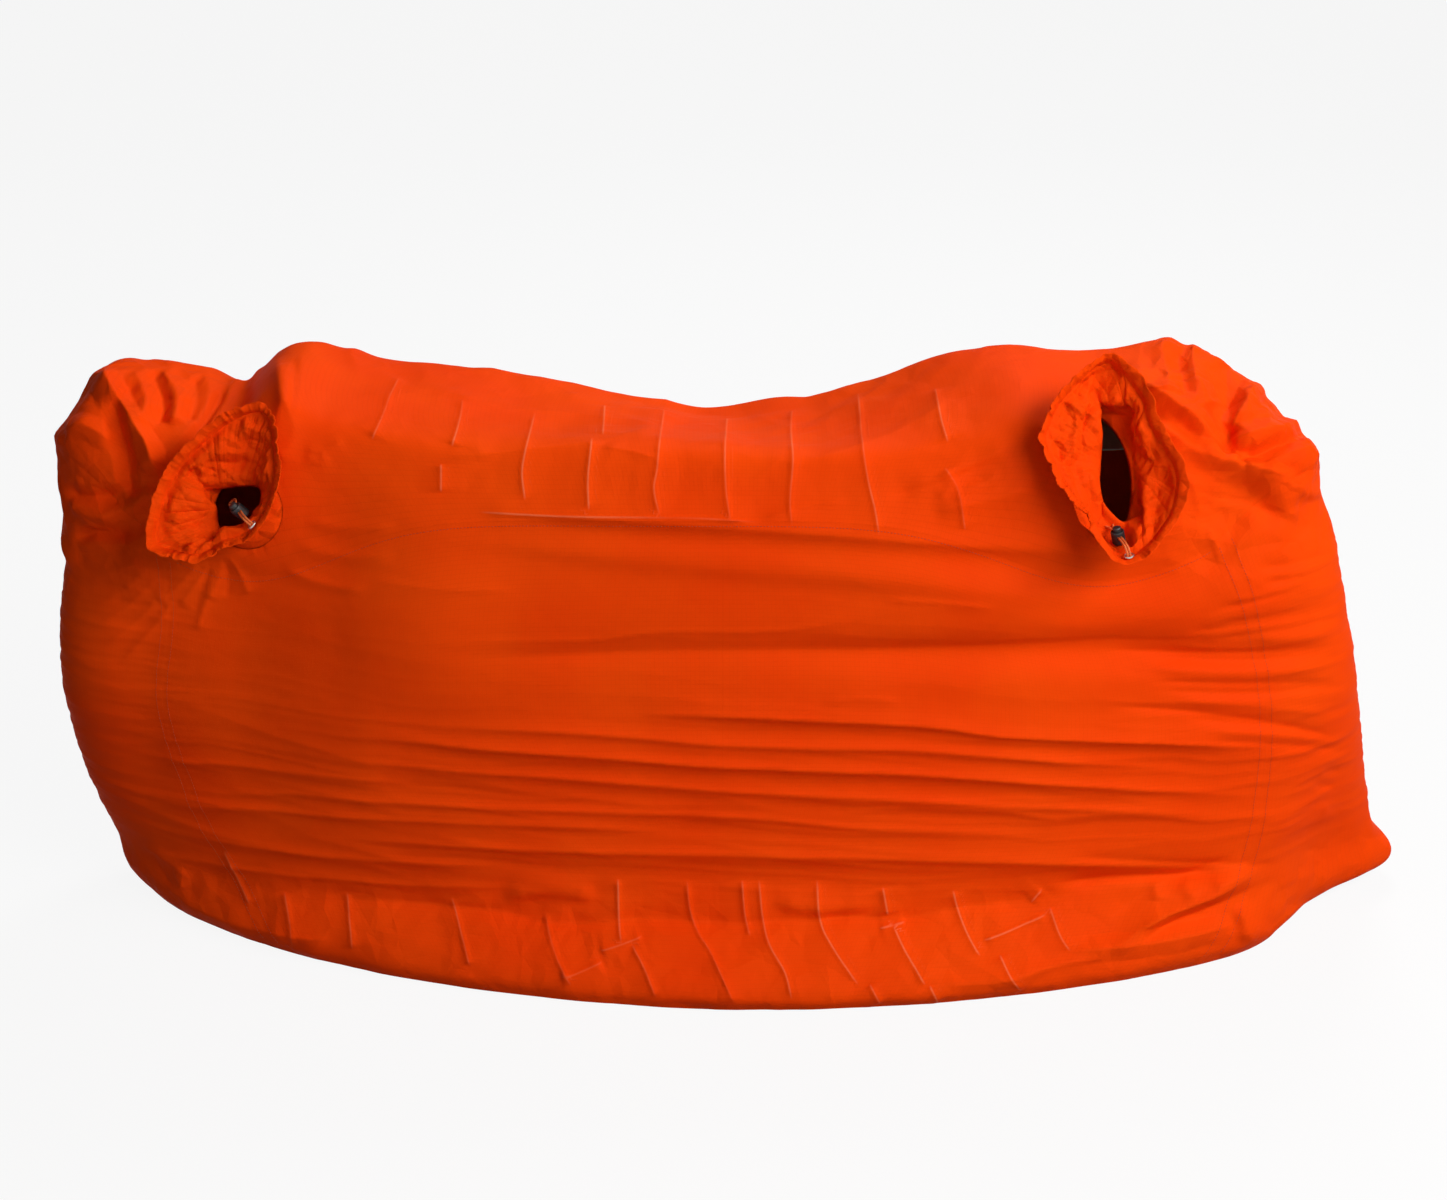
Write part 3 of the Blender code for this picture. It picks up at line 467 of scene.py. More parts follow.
# The crumpled empty corner at the right: flat facets between straight creases
RIGHT_CORNER = (
    folds(14.9, 22, 16, FLAT, 0.15, (1124, 366, 1150, 392, 1180, 416, 1207, 437, 1226, 458))
    + folds(13.5, 14, 34, FLAT, 0.12,
        (1150, 420, 1170, 440, 1188, 453, 1220, 460, 1251, 467, 1285, 480, 1319, 497))
    + folds(-8.1, 12, 12, ROUND, 0.22, (1166, 462, 1200, 468, 1242, 485, 1268, 502, 1280, 530))
    + folds(-10.8, 18, 26, FLAT, 0.1, (1227, 358, 1229, 395, 1230, 428, 1223, 456))
    + folds(10.8, 16, 14, FLAT, 0.1, (1258, 378, 1244, 404, 1230, 428))
    + folds(10.8, 14, 12, FLAT, 0.1, (1230, 440, 1256, 436, 1282, 428, 1308, 412))
    + folds(-8.1, 10, 12, FLAT, 0.1, (1236, 461, 1270, 448, 1308, 436))
    + folds(9.5, 12, 20, FLAT, 0.1, (1306, 432, 1311, 462, 1319, 497))
    + folds(8.1, 20, 20, FLAT, 0.1, (1160, 346, 1168, 372, 1166, 400), (1190, 347, 1200, 380, 1214, 408))
    + folds(-6.8, 14, 14, FLAT, 0.1, (1178, 350, 1184, 384, 1178, 406), (1262, 392, 1284, 404, 1306, 410))
    + folds(3.0, 5, 4, SHARP, 0.22, (1190, 480, 1198, 500, 1200, 518), (1204, 524, 1214, 544, 1221, 562),
        (1222, 456, 1244, 458, 1252, 474), (1150, 366, 1166, 372, 1168, 384))
)

# Pleats from the left peak, the pointed fold of the left corner and the rays under its vent
LEFT_FOLDS = (
    folds(9.1, 9, 7, FIRM, 0.22, (262, 352, 240, 382, 214, 420, 188, 452),
        (276, 352, 280, 385, 283, 420, 281, 470))
    + folds(2.6, 5, 5, SHARP, 0.22, (291, 350, 289, 388, 285, 430, 283, 460),
        (301, 350, 299, 385, 293, 425), (284, 356, 287, 400, 284, 440))
    + folds(-2.6, 6, 6, SHARP, 0.22, (296, 352, 294, 390, 288, 430), (270, 356, 258, 390, 236, 424))
    + folds(16.9, 12, 22, FLAT, 0.12, (101, 366, 118, 396, 137, 428, 152, 452, 160, 478))
    + folds(-10.4, 14, 14, FLAT, 0.12, (112, 396, 118, 430, 124, 466, 126, 496))
    + folds(-9.1, 14, 10, FLAT, 0.15, (228, 388, 206, 420, 180, 452, 160, 486))
    + folds(9.1, 12, 12, FLAT, 0.12, (62, 500, 84, 516, 108, 514, 142, 500, 160, 486))
    + folds(-9.1, 10, 12, FLAT, 0.22, (58, 486, 84, 494, 122, 490), (66, 540, 90, 530, 130, 534))
    + folds(7.8, 14, 14, FLAT, 0.15, (134, 368, 146, 398, 140, 428), (160, 366, 176, 392, 172, 424),
        (60, 430, 84, 426, 110, 440))
    + folds(-6.5, 12, 12, FLAT, 0.15, (150, 368, 160, 396, 156, 424), (192, 372, 196, 396, 186, 420))
    + folds(2.2, 6, 6, SHARP, 0.15, (216, 562, 206, 590, 190, 640), (222, 560, 215, 582, 204, 606),
        (208, 562, 190, 590, 172, 612), (199, 563, 172, 590, 150, 608), (229, 556, 240, 580, 246, 600))
    + folds(2.0, 7, 6, FIRM, 0.22, (150, 566, 120, 590, 82, 612), (158, 574, 126, 604, 84, 632),
        (166, 584, 136, 618, 92, 652), (146, 556, 112, 572, 76, 584), (172, 596, 146, 632, 110, 668),
        (300, 520, 350, 528, 400, 526), (290, 545, 340, 556, 400, 556), (276, 566, 320, 584, 370, 592))
    + folds(-1.8, 5, 5, SHARP, 0.22, (211, 564, 198, 594, 186, 622), (226, 560, 226, 584, 222, 604))
    + folds(2.0, 6, 6, SHARP, 0.22, (302, 446, 322, 452, 346, 440), (304, 455, 318, 462, 330, 456))
)

# The roof: its long diagonal fold, and the dips that end at the saddle
ROOF_FOLDS = (
    folds(5.0, 9, 7, FIRM, 0.22, (400, 384, 450, 395, 500, 409, 560, 414, 640, 424, 700, 416),
        (430, 462, 500, 452, 560, 446, 620, 437, 690, 420))
    + folds(4.0, 12, 10, FIRM, 0.22, (800, 462, 860, 446, 920, 420, 960, 392),
        (900, 492, 960, 470, 1020, 440), (930, 512, 990, 500, 1040, 484))
    + folds(-3.0, 9, 9, FIRM, 0.22, (470, 450, 540, 449, 600, 440, 650, 428),
        (880, 500, 950, 478, 1010, 455))
    + folds(1.6, 4, 4, SHARP, 0.22, (600, 446, 632, 452, 660, 460), (750, 415, 772, 422, 792, 430),
        (610, 415, 640, 424, 660, 426), (760, 520, 800, 508, 850, 500), (940, 470, 950, 486, 936, 498),
        (1000, 470, 985, 482, 960, 490), (950, 500, 985, 492, 1010, 486))
)

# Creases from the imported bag, in the roof and in the skirt
PACKED_ROOF = pressed(
    1.5, 1.5, 26, (400, 376, 390, 398, 383, 416, 372, 440), (463, 402, 460, 420, 452, 446),
    (441, 464, 441, 492), (535, 414, 528, 440, 522, 470, 525, 500), (605, 410, 603, 436),
    (592, 438, 588, 478, 589, 510), (665, 412, 660, 440, 657, 470, 654, 490, 660, 516),
    (728, 410, 725, 450, 726, 490, 731, 524), (793, 398, 791, 430, 793, 460, 790, 500, 792, 526),
    (858, 390, 862, 440, 868, 480, 875, 510, 879, 535), (935, 388, 941, 420, 948, 442),
    (945, 468, 958, 490, 965, 530), (480, 512, 560, 516, 640, 517, 700, 518, 760, 522))

PACKED_SKIRT = pressed(
    1.8, 1.6, 24, (545, 912, 550, 936, 558, 960, 571, 986), (618, 878, 619, 920, 621, 942),
    (632, 944, 645, 970, 656, 998), (687, 880, 690, 910, 697, 930, 710, 950, 722, 975, 735, 1004),
    (742, 880, 745, 915, 750, 936), (759, 880, 763, 920, 770, 945, 785, 972, 792, 1000),
    (817, 880, 820, 920, 832, 945, 850, 972, 858, 984), (883, 888, 888, 916),
    (893, 925, 905, 950, 925, 984), (953, 890, 958, 910, 968, 935, 980, 956),
    (1050, 908, 1060, 935, 1070, 951), (1000, 955, 1010, 975, 1021, 991), (1042, 890, 1032, 902),
    (285, 890, 290, 920, 293, 946), (347, 893, 350, 925, 352, 950), (452, 898, 462, 935, 470, 966),
    (560, 976, 575, 974, 602, 962), (600, 951, 622, 944, 642, 936), (880, 929, 905, 924),
    (984, 940, 1014, 928, 1046, 914), (224, 850, 235, 872, 250, 905), (930, 985, 938, 1002),
    (870, 984, 880, 1003))

# The skirt: its bend above the floor, the turned strip and the tuck at the right
SKIRT_FOLDS = (
    folds(-6.0, 15, 10, FIRM, 0.22, (240, 905, 340, 900, 420, 905, 500, 912, 560, 925, 640, 920, 720, 924,
        800, 921, 860, 918, 900, 922, 950, 910, 1010, 903, 1080, 893, 1140, 882))
    + folds(5.0, 12, 8, ROUND, 0.22, (500, 897, 550, 889, 600, 896), (770, 900, 820, 908, 880, 904))
    + folds(-9.0, 9, 6, FIRM, 0.22, (1050, 886, 1120, 879, 1180, 876, 1240, 869))
    + folds(18.0, 12, 26, FLAT, 0.35, (1268, 868, 1232, 884, 1200, 898, 1160, 915, 1130, 935, 1108, 950))
    + folds(8.0, 14, 16, FLAT, 0.22, (1060, 952, 1120, 945, 1180, 937, 1246, 922))
    + folds(-7.0, 24, 16, FLAT, 0.15, (1266, 934, 1292, 908, 1330, 892))
    + folds(8.0, 14, 10, FLAT, 0.35, (1236, 902, 1246, 926, 1244, 946))
    + folds(4.0, 8, 6, FIRM, 0.22, (930, 984, 1010, 978, 1060, 965, 1110, 956), (1155, 880, 1156, 900),
        (1180, 882, 1194, 896), (1210, 885, 1250, 872))
    + folds(4.5, 7, 7, SHARP, 0.22, (150, 862, 172, 888, 205, 912, 260, 930, 340, 941),
        (140, 842, 172, 862, 196, 880), (176, 868, 186, 890))
    + folds(-3.5, 6, 6, FIRM, 0.22, (150, 846, 160, 868, 176, 892), (1060, 855, 1160, 862, 1290, 866))
    + folds(-3.0, 5, 5, FIRM, 0.22, (1300, 852, 1330, 848, 1366, 846), (1316, 862, 1322, 876),
        (1330, 840, 1366, 834))
    + folds(3.5, 8, 8, FIRM, 0.22, (1318, 800, 1340, 830, 1372, 856), (1320, 876, 1350, 862, 1378, 850))
)

SEEN_FOLDS = (LONG_FOLDS + UPPER_WAVES + RIGHT_WRINKLES + RIGHT_CORNER + LEFT_FOLDS + ROOF_FOLDS + PACKED_ROOF
              + PACKED_SKIRT + SKIRT_FOLDS)

# The back isn't in the photograph: it takes the front's kinds of folds, turned half round
BACK_FOLDS = LONG_FOLDS + UPPER_WAVES + RIGHT_WRINKLES + PACKED_SKIRT

# Folds whose crest the finish paints as a crisp, pale line, a painted highlight of the lit crest, and how far
# from it they are told apart
HIGHLIGHTED_CREASES = tuple(fold for fold in PACKED_ROOF + PACKED_SKIRT if fold.crest is SHARP)
CREASE_REACH = 9.0


# The cloth's form

@dataclass(frozen=True)
class Level:
    """One plan loop of the walls: how far it reaches from the middle on each side."""

    at: float
    height: float
    left: float
    right: float
    front: float
    back: float
    squareness: float


@dataclass(frozen=True)
class Bulge:
    """A soft swelling of the cloth: how far it stands out, and its middle and width along x and up z."""

    rise: float
    x: float
    wide: float
    z: float
    tall: float

    def at(self, x: Array, z: Array) -> Array:
        """How far the cloth stands out at each place."""
        return self.rise * swell(x, self.x, self.wide) * swell(z, self.z, self.tall)


@dataclass(frozen=True)
class FreeCreases:
    """Facets of one size: their rise and size in metres, their scatter, and their share by region."""

    rise: float
    size: float
    seed: int
    corner: float
    skirt: float
    roof: float
    back: float


FREE_CREASES = (
    FreeCreases(0.0240, 0.078, 21, corner=1.0, skirt=0.10, roof=0.06, back=0.06),
    FreeCreases(0.0110, 0.037, 22, corner=0.8, skirt=0.13, roof=0.05, back=0.05),
    FreeCreases(0.0034, 0.017, 23, corner=0.6, skirt=0.12, roof=0.05, back=0.04),
)

# Taut streaks, from long to tight: how many to a metre along x, y and up, and their scatter
TAUT_STREAKS = (((2.2, 2.2, 21.0), 31), ((3.6, 3.6, 47.0), 32), ((6.0, 6.0, 78.0), 35))


@dataclass
class Drape:
    """The form that the whole bag takes, and the folds on it.

    Body and body_middle are half sizes and middle of the squarish oval body that fills the bag.
    """

    cut_length: float = 1.40
    cut_depth: float = 0.45
    roof_depth: float = 0.40
    wall_height: float = 0.62
    fold_gain: float = 0.85
    body: tuple[float, float, float] = (0.84, 0.21, 0.46)
    body_middle: tuple[float, float, float] = (-0.024, 0.040, 0.30)
    tuck_in: tuple[float, float] = (0.18, 0.55)
    base_skew: float = 0.022
    front_toe: float = 0.050
    right_foot: float = 0.042
    vent_sag: float = 0.085
    back_sag: float = 0.02
    left_ear: float = 0.055
    right_ear: float = 0.03
    left_bulge: Bulge = Bulge(0.010, -0.38, 0.22, 0.47, 0.11)
    right_bulge: Bulge = Bulge(0.016, 0.47, 0.24, 0.50, 0.070)
    under_bulge: float = 0.010
    left_dent: float = 0.018
    levels: tuple[Level, ...] = (
        Level(0.00, 0.000, 0.762, 0.815, 0.292, 0.235, 1.80),
        Level(0.03, 0.016, 0.776, 0.834, 0.298, 0.240, 1.80),
        Level(0.14, 0.085, 0.796, 0.842, 0.224, 0.205, 2.10),
        Level(0.30, 0.190, 0.818, 0.822, 0.198, 0.190, 2.60),
        Level(0.50, 0.320, 0.828, 0.794, 0.184, 0.180, 3.00),
        Level(0.75, 0.460, 0.808, 0.753, 0.165, 0.175, 3.10),
        Level(1.00, 0.585, 0.806, 0.716, 0.140, 0.165, 2.90),
    )
    ridge: tuple[tuple[float, float, float], ...] = (
        (-0.80, 0.05, 0.672), (-0.75, 0.05, 0.722), (-0.70, 0.06, 0.708), (-0.635, 0.06, 0.684),
        (-0.585, 0.06, 0.662), (-0.545, 0.05, 0.708), (-0.51, 0.05, 0.720), (-0.46, 0.06, 0.699),
        (-0.33, 0.09, 0.670), (-0.18, 0.12, 0.637), (-0.02, 0.13, 0.607), (0.10, 0.11, 0.628),
        (0.20, 0.09, 0.662), (0.30, 0.07, 0.698), (0.345, 0.06, 0.710), (0.45, 0.06, 0.697),
        (0.57, 0.06, 0.712), (0.62, 0.06, 0.702), (0.66, 0.05, 0.688), (0.716, 0.03, 0.650),
    )
    angle: Array = field(init=False)
    run: Array = field(init=False)

    def __post_init__(self) -> None:
        """Arc length round the loop at half height, for spacing the panels along it."""
        self.angle = np.linspace(0.0, TAU, 4001)
        x, y = self.loop(self.angle, np.array(0.5))
        self.run = np.concatenate([[0.0], np.cumsum(np.hypot(np.diff(x), np.diff(y)))])

    def size(self, v: Array, name: str) -> Array:
        """One size of the wall loops at wall height v."""
        return spline([lv.at for lv in self.levels], [getattr(lv, name) for lv in self.levels], v)

    def loop(self, angle: Array, v: Array) -> tuple[Array, Array]:
        """Squarish oval: each axis is its reach times cosine or sine to the power 2 over n.

        Args:
            angle: Angles round the loop.
            v: Wall heights, 0 to 1.

        Returns:
            x and y from the bag's middle.
        """
        names = ("left", "right", "front", "back", "squareness")
        left, right, front, back, n = (self.size(v, name) for name in names)
        c, s = np.cos(angle), np.sin(angle)
        x = np.where(c < 0, left, right) * np.sign(c) * np.abs(c) ** (2.0 / n)
        y = np.where(s < 0, front, back) * np.sign(s) * np.abs(s) ** (2.0 / n)
        return x, y

    def wrap(self, u: Array) -> Array:
        """Angle round the loop for a place on the panels.

        Args:
            u: 0 to 1 is the front, 1 to 2 the right end, 2 to 3 the back, 3 to 4 the left end.

        Returns:
            The angle that lies there by length along the loop.
        """
        total = self.run[-1]
        share = total / (2.0 * (self.cut_length + self.cut_depth))
        side, end = self.cut_length * share, self.cut_depth * share
        stops = [-end / 2 - side, -end / 2, end / 2, end / 2 + side, 1.5 * end + side]
        run = np.mod(np.interp(np.mod(u, 4.0), [0, 1, 2, 3, 4], stops), total)
        return np.interp(run, self.run, self.angle)

    def brow(self, x: Array, y: Array) -> Array:
        """How far the top edge of the walls stands above or hangs below its mean height.

        The front sags under both vents, the ends rise into the two ears, and the back hangs evenly.

        Args:
            x: Places along the bag, from its middle.
            y: Places across it.

        Returns:
            The rise at each place.
        """
        front = ramp(0.02, -0.06, y)
        left, right = ramp(-0.66, -0.80, x), ramp(0.56, 0.70, x)
        sag = -self.vent_sag * swell(x, -0.57, 0.15) - self.vent_sag * swell(x, 0.45, 0.17)
        back = -self.back_sag * (1 - front) * (1 - left) * (1 - right)
        ears = front * sag * (1 - left) * (1 - right) + self.left_ear * left + self.right_ear * right
        return ears + back

    def wall_shape(self, u: Array, v: Array) -> Array:
        """Walls about their own middle: the plan loops, then each local change of the form.

        Args:
            u: Places round the bag, as for wrap.
            v: 0 to 1 up the wall, below 0 inward on the floor.

        Returns:
            Points from the bag's middle.
        """
        u, v = np.broadcast_arrays(np.asarray(u, float), np.asarray(v, float))
        up = np.clip(v, 0.0, 1.0)
        x, y = self.loop(self.wrap(u), up)
        z = self.size(up, "height")
        low = 1.0 - ramp(0.05, 0.55, up)
        y = y - self.base_skew * (x / 0.8) * low * ramp(0.05, -0.15, y)
        y = y + self.front_toe * swell(x, 0.775, 0.070) * low * ramp(0.02, -0.06, y)
        x = x + self.right_foot * swell(z, 0.035, 0.040) * swell(y, 0.035, 0.085) * ramp(0.60, 0.80, x)
        tuck = np.clip(-v, 0.0, 1.0)
        x, y = x * (1.0 - self.tuck_in[0] * tuck), y * (1.0 - self.tuck_in[1] * tuck)
        z = z + self.brow(x, y) * ramp(0.35, 1.0, v)
        front = ramp(-0.02, -0.12, y) * ramp(0.02, 0.14, v)
        under = -self.under_bulge * swell(z, 0.425 - 0.03 * x, 0.022)
        under = under * ramp(0.0, 0.25, x) * ramp(0.74, 0.60, x)
        out = self.right_bulge.at(x, z) + self.left_bulge.at(x, z) + under
        y = y - out * front * ramp(1.0, 0.86, v)
        return np.stack([x, y, z], -1)

    def wall(self, u: Array, v: Array) -> Array:
        """Point of the walls in the part's frame."""
        return self.wall_shape(u, v) + MIDDLE

    def roof(self, t: Array, s: Array) -> Array:
        """Roof: a blend of its four edges, lifted by a dome up to the ridge line.

        Args:
            t: 0 to 1 from left to right.
            s: 0 to 1 from front to back.

        Returns:
            Points in the part's frame.
        """
        t, s = np.broadcast_arrays(np.asarray(t, float), np.asarray(s, float))
        tt, ss = t[..., None], s[..., None]
        front, back = self.wall_shape(t, 1.0), self.wall_shape(3.0 - t, 1.0)
        left, right = self.wall_shape(4.0 - s, 1.0), self.wall_shape(1.0 + s, 1.0)
        corners = ((1 - tt) * (1 - ss) * self.wall_shape(0, 1.0) + tt * (1 - ss) * self.wall_shape(1, 1.0)
                   + (1 - tt) * ss * self.wall_shape(3, 1.0) + tt * ss * self.wall_shape(2, 1.0))
        base = (1 - ss) * front + ss * back + (1 - tt) * left + tt * right - corners
        x, y = base[..., 0], base[..., 1]
        ridge = np.array(self.ridge)
        ridge_y = spline(ridge[:, 0], ridge[:, 1], x)
        ridge_z = spline(ridge[:, 0], ridge[:, 2], x)
        share = np.clip((ridge_y - front[..., 1]) / (back[..., 1] - front[..., 1]), 0.2, 0.9)
        across = 2.0 * s ** (np.log(0.5) / np.log(share)) - 1.0
        along = 2.0 * t - 1.0
        dome = (1 - np.abs(across) ** 2.3) ** 0.5 * (1 - np.abs(along) ** 12) ** (1 / 3)
        return np.stack([x, y, base[..., 2] + (ridge_z - base[..., 2]) * dome], -1) + MIDDLE

    def outward(self, p: Array) -> Array:
        """Direction out of the bag: the slope of the squarish oval body that fills it.

        It depends on the point alone, so panels that share a seam move together there.

        Args:
            p: Points in the part's frame.

        Returns:
            A direction of length 1 for each.
        """
        long, deep, tall = self.body
        x = (p[..., 0] - self.body_middle[0]) / long
        y = (p[..., 1] - self.body_middle[1]) / deep
        z = np.clip((p[..., 2] - self.body_middle[2]) / tall, 0.0, None)
        side = np.sign(y) * np.abs(y) ** 3 / deep + np.sign(y) * 1e-3
        n = np.stack([np.sign(x) * np.abs(x) ** 7 / 0.5, side, z ** 3 / tall], -1)
        return n / np.linalg.norm(n, axis=-1, keepdims=True)

    @staticmethod
    def regions(p: Array) -> tuple[Array, Array, Array, Array]:
        """How much each point belongs to the regions of the cloth.

        Args:
            p: Points in the part's frame.

        Returns:
            Shares of the loose corners, the skirt, the roof and the back.
        """
        x, y, z = p[..., 0] - MIDDLE[0], p[..., 1] - MIDDLE[1], p[..., 2]
        left = ramp(-0.60, -0.70, x) * ramp(0.43, 0.54, z)
        right = ramp(0.48, 0.56, x) * ramp(0.47, 0.57, z)
        loose = np.clip(left + right, 0, 1)
        return loose, ramp(0.13, 0.07, z), ramp(0.56, 0.63, z) * (1 - loose), ramp(0.02, 0.12, y)

    def crease_lines(self, base: Array) -> tuple[Array, Array]:
        """Fields for the finish's painted crease highlight: distance across the nearest such crease, and how
        much it shows.

        Args:
            base: Points of the base surface.

        Returns:
            The distance in pixels of the photograph, and a share that is 0 far from the line.
        """
        pixels = VIEW.pixels(base)
        toward = VIEW.eye() - base
        # The painted crease highlight is shown only where the cloth faces the camera.
        facing = ramp(-0.05, 0.10, (toward * self.outward(base)).sum(-1) / np.linalg.norm(toward, axis=-1))
        across = np.full(base.shape[:-1], CREASE_REACH)
        shown = np.zeros(base.shape[:-1])
        for fold in HIGHLIGHTED_CREASES:
            near, far, fade = fold.measure(pixels, CREASE_REACH)
            closer = np.abs(far) < np.abs(across[near])
            across[near] = np.where(closer, far, across[near])
            share = np.sqrt(fade) * ramp(CREASE_REACH, 0.4 * CREASE_REACH, np.abs(far))
            shown[near] = np.where(closer, share, shown[near])
        return across, shown * facing

    def creased(self, p: Array) -> Array:
        """Strength of the fine creases in the finish at each point, from 0 to 1."""
        loose, skirt, roof, back = self.regions(p)
        return np.clip(0.03 + 0.55 * loose + 0.30 * skirt + 0.10 * roof + 0.06 * back, 0.0, 1.0)

    def crumple(self, p: Array) -> Array:
        """Height of the free creases: facets of three sizes where the cloth is loose, streaks where taut.

        Args:
            p: Points of the base surface.

        Returns:
            The height at each point.
        """
        x, y, z = p[..., 0] - MIDDLE[0], p[..., 1] - MIDDLE[1], p[..., 2]
        bend = np.stack([noise(p / 0.10, seed) for seed in (11, 12, 13)], -1)
        q = p + 0.010 * bend
        loose, skirt, roof, back = self.regions(p)
        ends = ramp(0.60, 0.74, np.abs(x))
        front = ramp(-0.04, -0.12, y)
        seen = loose * (0.50 + 0.45 * back)
        height = np.zeros(p.shape[:-1])
        for kind in FREE_CREASES:
            share = 0.02 + kind.corner * seen + kind.skirt * skirt + kind.roof * roof + kind.back * back
            height += kind.rise * facets(q / kind.size, kind.seed) * share
        slant = np.stack([x, y, z + 0.062 * x], -1) + 0.006 * bend
        long, fine, tight = (streaks(slant * np.array(many), seed) for many, seed in TAUT_STREAKS)
        taut = (1 - loose) * (1 - 0.8 * skirt) * (1 - 0.7 * roof)
        share = 0.35 + 0.9 * swell(z, 0.20, 0.13) * front + 0.6 * back + 0.5 * ends
        height += taut * (0.0016 * long + 0.0009 * fine) * share
        height += taut * 0.0010 * tight * ends * ramp(0.10, 0.16, z)
        slope = np.stack([x + 0.55 * z, y, z - 0.4 * x], -1) + 0.012 * bend
        height += back * 0.0090 * streaks(slope * np.array((5.5, 3.0, 1.3)), 33) * ramp(0.06, 0.25, z)
        height += 0.0030 * noise(p / 0.17, 34) * (0.5 + back + loose)
        return height

    def drawn(self, base: Array, shapes: tuple[Fold, ...], turned: bool) -> Array:
        """Shift of base points by folds that are drawn in the photograph's pixels.

        A point moves outward and toward the viewpoint, so a fold stays on the pixels it was
        drawn at, whichever way the cloth faces.

        Args:
            base: Points of the base surface.
            shapes: The folds.
            turned: Whether the folds are put on the far side, turned half round.

        Returns:
            A shift for each point.
        """
        flip = np.array((-1.0, -1.0, 1.0)) if turned else np.ones(3)
        place = (base - MIDDLE) * flip + MIDDLE
        out = self.outward(base) * flip
        toward = VIEW.eye() - place
        toward /= np.linalg.norm(toward, axis=-1, keepdims=True)
        facing = ramp(-0.15, 0.15, (toward * out).sum(-1))
        pixels = VIEW.pixels(place) - (np.array((34.0, 4.0)) if turned else 0.0)
        rise = np.zeros(base.shape[:-1])
        for fold in shapes:
            rise += fold.height(pixels)
        way = toward + 0.7 * out
        way[..., 2] *= ramp(0.0, 0.012, base[..., 2])
        return way * flip * (self.fold_gain * rise * facing)[..., None]

    def dressed(self, base: Array) -> Array:
        """Base points moved out by the crumples and by the folds of both long sides.

        Args:
            base: Points of the base surface.

        Returns:
            Points of the cloth.
        """
        height = self.crumple(base)
        x, y, z = base[..., 0], base[..., 1], base[..., 2]
        dent = self.left_dent * ramp(-0.44, -0.62, x) * ramp(-0.84, -0.72, x) * ramp(0.0, -0.10, y)
        height -= dent * ramp(0.10, 0.26, z) * ramp(0.56, 0.44, z)
        kept = self.calm(base) * (0.5 + 0.5 * ramp(0.0, 0.012, z))
        shift = self.outward(base) * height[..., None] + self.drawn(base, SEEN_FOLDS, False)
        far = ramp(0.0, 0.05, y - MIDDLE[1])[..., None]
        points = base + (shift + far * self.drawn(base, BACK_FOLDS, True)) * kept[..., None]
        for vent in VENTS:
            points = vent.clear_rim(points)
        return points

    @staticmethod
    def calm(p: Array) -> Array:
        """How much the cloth may be creased at each point.

        Args:
            p: Points of the base surface.

        Returns:
            0 round each vent's hole, where the collar is sewn on, and 1 away from it.
        """
        calm = np.ones(p.shape[:-1])
        for vent in VENTS:
            calm = calm * ramp(1.05, 1.7, vent.hole_share(p))
        return calm


# Meshes

def put_mesh(name: str, points: Array, faces: Array, uv: Array | None = None,
             creased: Array | float = 0.0,
             lines: tuple[Array, Array] | None = None) -> Object:
    """Object at the origin from whole arrays.

    Args:
        name: Name of the piece.
        points: Its points, in rows.
        faces: Four point numbers a face.
        uv: Flat cloth place of each point in metres, or None.
        creased: Strength of fine creases in the finish, for each point or for all.
        lines: Distance across the nearest crease line and how much it shows, for each point.

    Returns:
        The new object.
    """
    mesh = bpy.data.meshes.new(name)
    mesh.vertices.add(len(points))
    mesh.vertices.foreach_set("co", points.astype(np.float32).ravel())
    mesh.loops.add(faces.size)
    mesh.loops.foreach_set("vertex_index", faces.astype(np.int32).ravel())
    mesh.polygons.add(len(faces))
    mesh.polygons.foreach_set("loop_start", np.arange(0, faces.size, faces.shape[1], dtype=np.int32))
    mesh.polygons.foreach_set("use_smooth", np.full(len(faces), True))
    if uv is not None:
        layer = mesh.uv_layers.new(name="cloth")
        layer.data.foreach_set("uv", uv[faces.ravel()].astype(np.float32).ravel())
    across, shown = (0.0, 0.0) if lines is None else lines
    for label, values in (("creased", creased), ("crease_across", across), ("crease_shown", shown)):
        every = np.broadcast_to(np.ravel(values), (len(points),)).astype(np.float32).copy()
        mesh.attributes.new(label, "FLOAT", "POINT").data.foreach_set("value", every)
    mesh.update(calc_edges=True)
    mesh.validate()
    obj = bpy.data.objects.new(name, mesh)
    bpy.context.scene.collection.objects.link(obj)
    return obj


def grid_faces(rows: int, cols: int, wrap: bool = False) -> Array:
    """Faces of a grid of points in row order.

    Args:
        rows: Rows of points.
        cols: Points in a row.
        wrap: Whether the last column joins the first.

    Returns:
        Four point numbers a face.
    """
    i = np.arange(rows - 1)[:, None] * cols
    j = np.arange(cols if wrap else cols - 1)[None, :]
    k = (j + 1) % cols
    return np.stack([i + j, i + k, i + cols + k, i + cols + j], -1).reshape(-1, 4)


def put_grid(name: str, points: Array, uv: Array | None = None, wrap: bool = False,
             flip: bool = False, **more: object) -> Object:
    """Object from a grid of points.

    Args:
        name: Name of the piece.
        points: Rows of columns of points.
        uv: Flat cloth place of each point, or None.
        wrap: Whether the last column joins the first.
        flip: Whether the faces are turned over.
        more: Further values for put_mesh.

    Returns:
        The new object.
    """
    faces = grid_faces(*points.shape[:2], wrap)
    if flip:
        faces = faces[:, ::-1]
    flat = None if uv is None else uv.reshape(-1, 2)
    return put_mesh(name, points.reshape(-1, 3), faces, flat, **more)


